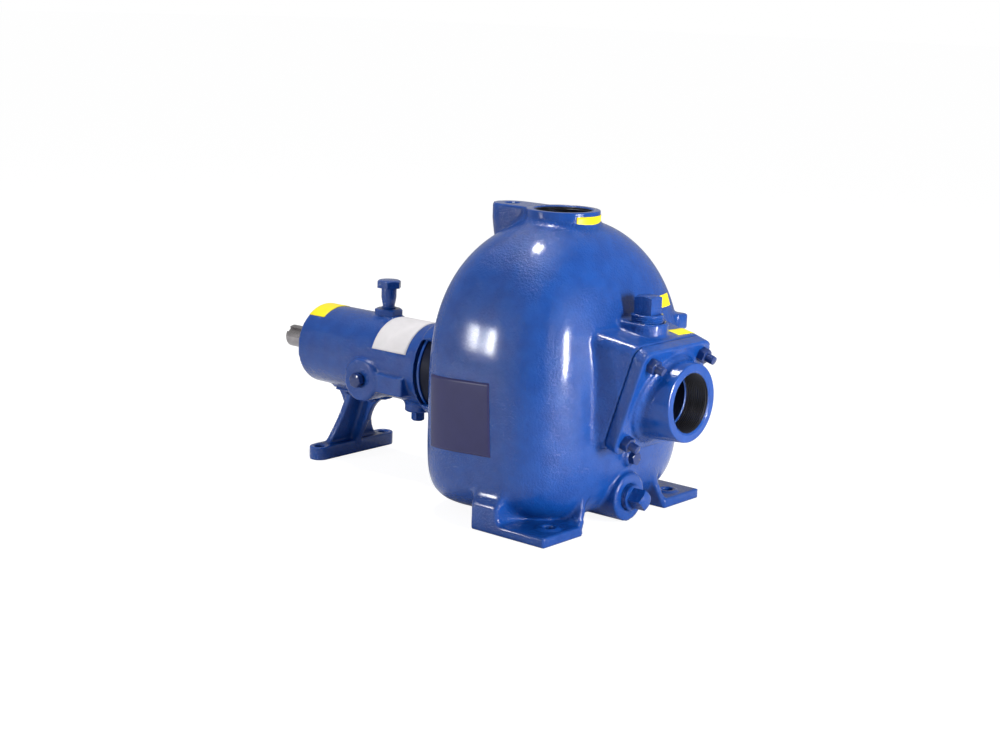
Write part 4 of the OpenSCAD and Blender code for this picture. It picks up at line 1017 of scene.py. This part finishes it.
def makeLabels():
    skin = BVHTree.FromPolygons([p.co.copy() for p in casingPiece.data.vertices],
                                [tuple(p.vertices) for p in casingPiece.data.polygons])

    def drop(spots, direction):   # where rays from the spots meet the casing
        rows = []
        for row in spots:
            hits = [skin.ray_cast(Vector(metres(*spot)), Vector(direction))[0] for spot in row]
            rows.append([(hit.x / mm - shellX, hit.y / mm, hit.z / mm) for hit in hits])
        return rows

    def stick(name, spots, stock):
        fix(meshPiece(name, *sheetShape(spots), stock), slotName=None)

    v = labels["side"]
    c, s = math.cos(v["lean"]), math.sin(v["lean"])
    spots = patch((-v["wide"] / 2, v["wide"] / 2, 33), (-v["high"] / 2, v["high"] / 2, 25),
                  lambda a, b: (v["u"] + a * c - b * s, -170, v["z"] + b * c + a * s))
    stick("sideLabel", drop(spots, (0, 1, 0)), navyStock)
    r = housing["tubeR"]
    for name, key, stock in (("namePlate", "name", whiteStock), ("oilLabel", "oil", yellowStock)):
        v = labels[key]
        stick(name, patch((v["u0"], v["u1"], 13), (v["from"], v["to"], 41),
                          lambda u, a: (u, -r * math.cos(math.radians(a)),
                                        shaftZ + r * math.sin(math.radians(a)))), stock)
    v, r = labels["ring"], ports["ringR"]
    stick("ringLabel", patch((v["from"], v["to"], 37), (v["z0"], v["z1"], 7),
                             lambda a, z: (r * math.cos(math.radians(a)),
                                           r * math.sin(math.radians(a)), z)), yellowStock)
    v = labels["fill"]
    spots = patch((v["y0"], v["y1"], 25), (v["z0"], v["z1"], 9), lambda y, z: (150, y, z))
    stick("fillLabel", drop(spots, (-1, 0, 0)), yellowStock)
    v = labels["box"]
    c, s = math.cos(v["lean"]), math.sin(v["lean"])
    spots = patch((-v["wide"] / 2, v["wide"] / 2, 7), (-v["long"] / 2, v["long"] / 2, 9),
                  lambda a, b: (v["u"] + a * c + b * s, v["y"] + b * c - a * s, 230))
    stick("boxLabel", drop(spots, (0, 0, -1)), yellowStock)


makeLabels()
print("labels done")


# camera, light and floor, in metres
view = {"eye": (1.23777, -1.43433, 0.52330), "azimuth": 0.69665, "down": 0.20870,
        "roll": 0.034369, "lens": 63.59}


def placeCamera():
    az, el, roll = view["azimuth"], view["down"], view["roll"]
    ahead = Vector((-math.sin(az) * math.cos(el), math.cos(az) * math.cos(el), -math.sin(el)))
    right = Vector((math.cos(az), math.sin(az), 0))
    up = right.cross(ahead)
    turnedRight = right * math.cos(roll) + up * math.sin(roll)
    turnedUp = up * math.cos(roll) - right * math.sin(roll)
    data = bpy.data.cameras.new("camera")
    data.lens = view["lens"]
    data.sensor_width = 36
    data.clip_start = 0.05
    camera = bpy.data.objects.new("camera", data)
    bpy.context.scene.collection.objects.link(camera)
    turn = Matrix((turnedRight, turnedUp, -ahead)).transposed().to_4x4()
    camera.matrix_world = Matrix.Translation(Vector(view["eye"])) @ turn
    bpy.context.scene.camera = camera


placeCamera()

studio = {"floor": (0.70, 0.70, 0.71, 1), "floorZ": -0.0002, "floorR": 30.0, "floorWhite": 0.7,
          "floorGlow": 1.31, "ambient": 0.36, "haze": 1.0, "mirrored": 0.1, "aim": (0.08, 0, 0.16),
          "lamps": [   # name, place, size, watts
              ("rightBox", (1.40, -0.05, 0.34), (0.15, 0.50), 24.0),
              ("leftBox", (-0.735, -1.275, 0.35), (0.05, 0.28), 8.0),
              ("topBox", (-0.23, 0.01, 1.66), (0.24, 0.24), 21.0),
              ("frontBox", (0.35, -1.70, 0.95), (2.20, 1.40), 2.0)]}


def aimAt(lamp, target):
    ahead = (Vector(target) - lamp.location).normalized()
    lamp.rotation_euler = ahead.to_track_quat("-Z", "Y").to_euler()


def lightStudio():
    for name, place, size, power in studio["lamps"]:
        data = bpy.data.lights.new(name, "AREA")
        data.shape = "RECTANGLE"
        data.size, data.size_y = size
        data.energy = power
        lamp = bpy.data.objects.new(name, data)
        lamp.location = place
        aimAt(lamp, studio["aim"])
        bpy.context.scene.collection.objects.link(lamp)
    world = bpy.data.worlds.new("studio")
    bpy.context.scene.world = world
    world.use_nodes = True
    world.node_tree.nodes.clear()
    maker = NodeMaker(world.node_tree)
    path = maker.add("ShaderNodeLightPath")
    seen = path["Is Camera Ray"] + path["Is Transmission Ray"]
    seen = seen + path["Is Glossy Ray"] * studio["mirrored"]
    plain, white = [maker.add("ShaderNodeBackground", None,
                              {"Color": (1, 1, 1, 1), "Strength": studio[key]})
                    for key in ("ambient", "haze")]
    mixed = maker.add("ShaderNodeMixShader", None, {0: seen, 1: plain[0], 2: white[0]})
    maker.add("ShaderNodeOutputWorld", None, {"Surface": mixed[0]})


def layFloor():
    mesh = bpy.data.meshes.new("floor")
    z = studio["floorZ"]
    r = studio["floorR"]
    mesh.from_pydata([(-r, -r, z), (r, -r, z), (r, r, z), (-r, r, z)], [], [(0, 1, 2, 3)])
    finish = bpy.data.materials.new("paleFloor")
    finish.use_nodes = True
    finish.node_tree.nodes.clear()
    maker = NodeMaker(finish.node_tree)
    path = maker.add("ShaderNodeLightPath")
    matt = maker.add("ShaderNodeBsdfDiffuse", None, {"Color": studio["floor"]})
    white = maker.add("ShaderNodeEmission", None,
                      {"Color": (1, 1, 1, 1), "Strength": studio["floorGlow"]})
    seen = path["Is Camera Ray"] * studio["floorWhite"]
    mixed = maker.add("ShaderNodeMixShader", None, {0: seen, 1: matt[0], 2: white[0]})
    maker.add("ShaderNodeOutputMaterial", None, {"Surface": mixed[0]})
    mesh.materials.append(finish)
    floor = bpy.data.objects.new("floor", mesh)
    bpy.context.scene.collection.objects.link(floor)


lightStudio()
layFloor()
bpy.context.scene.view_settings.view_transform = "Standard"
print("studio done")
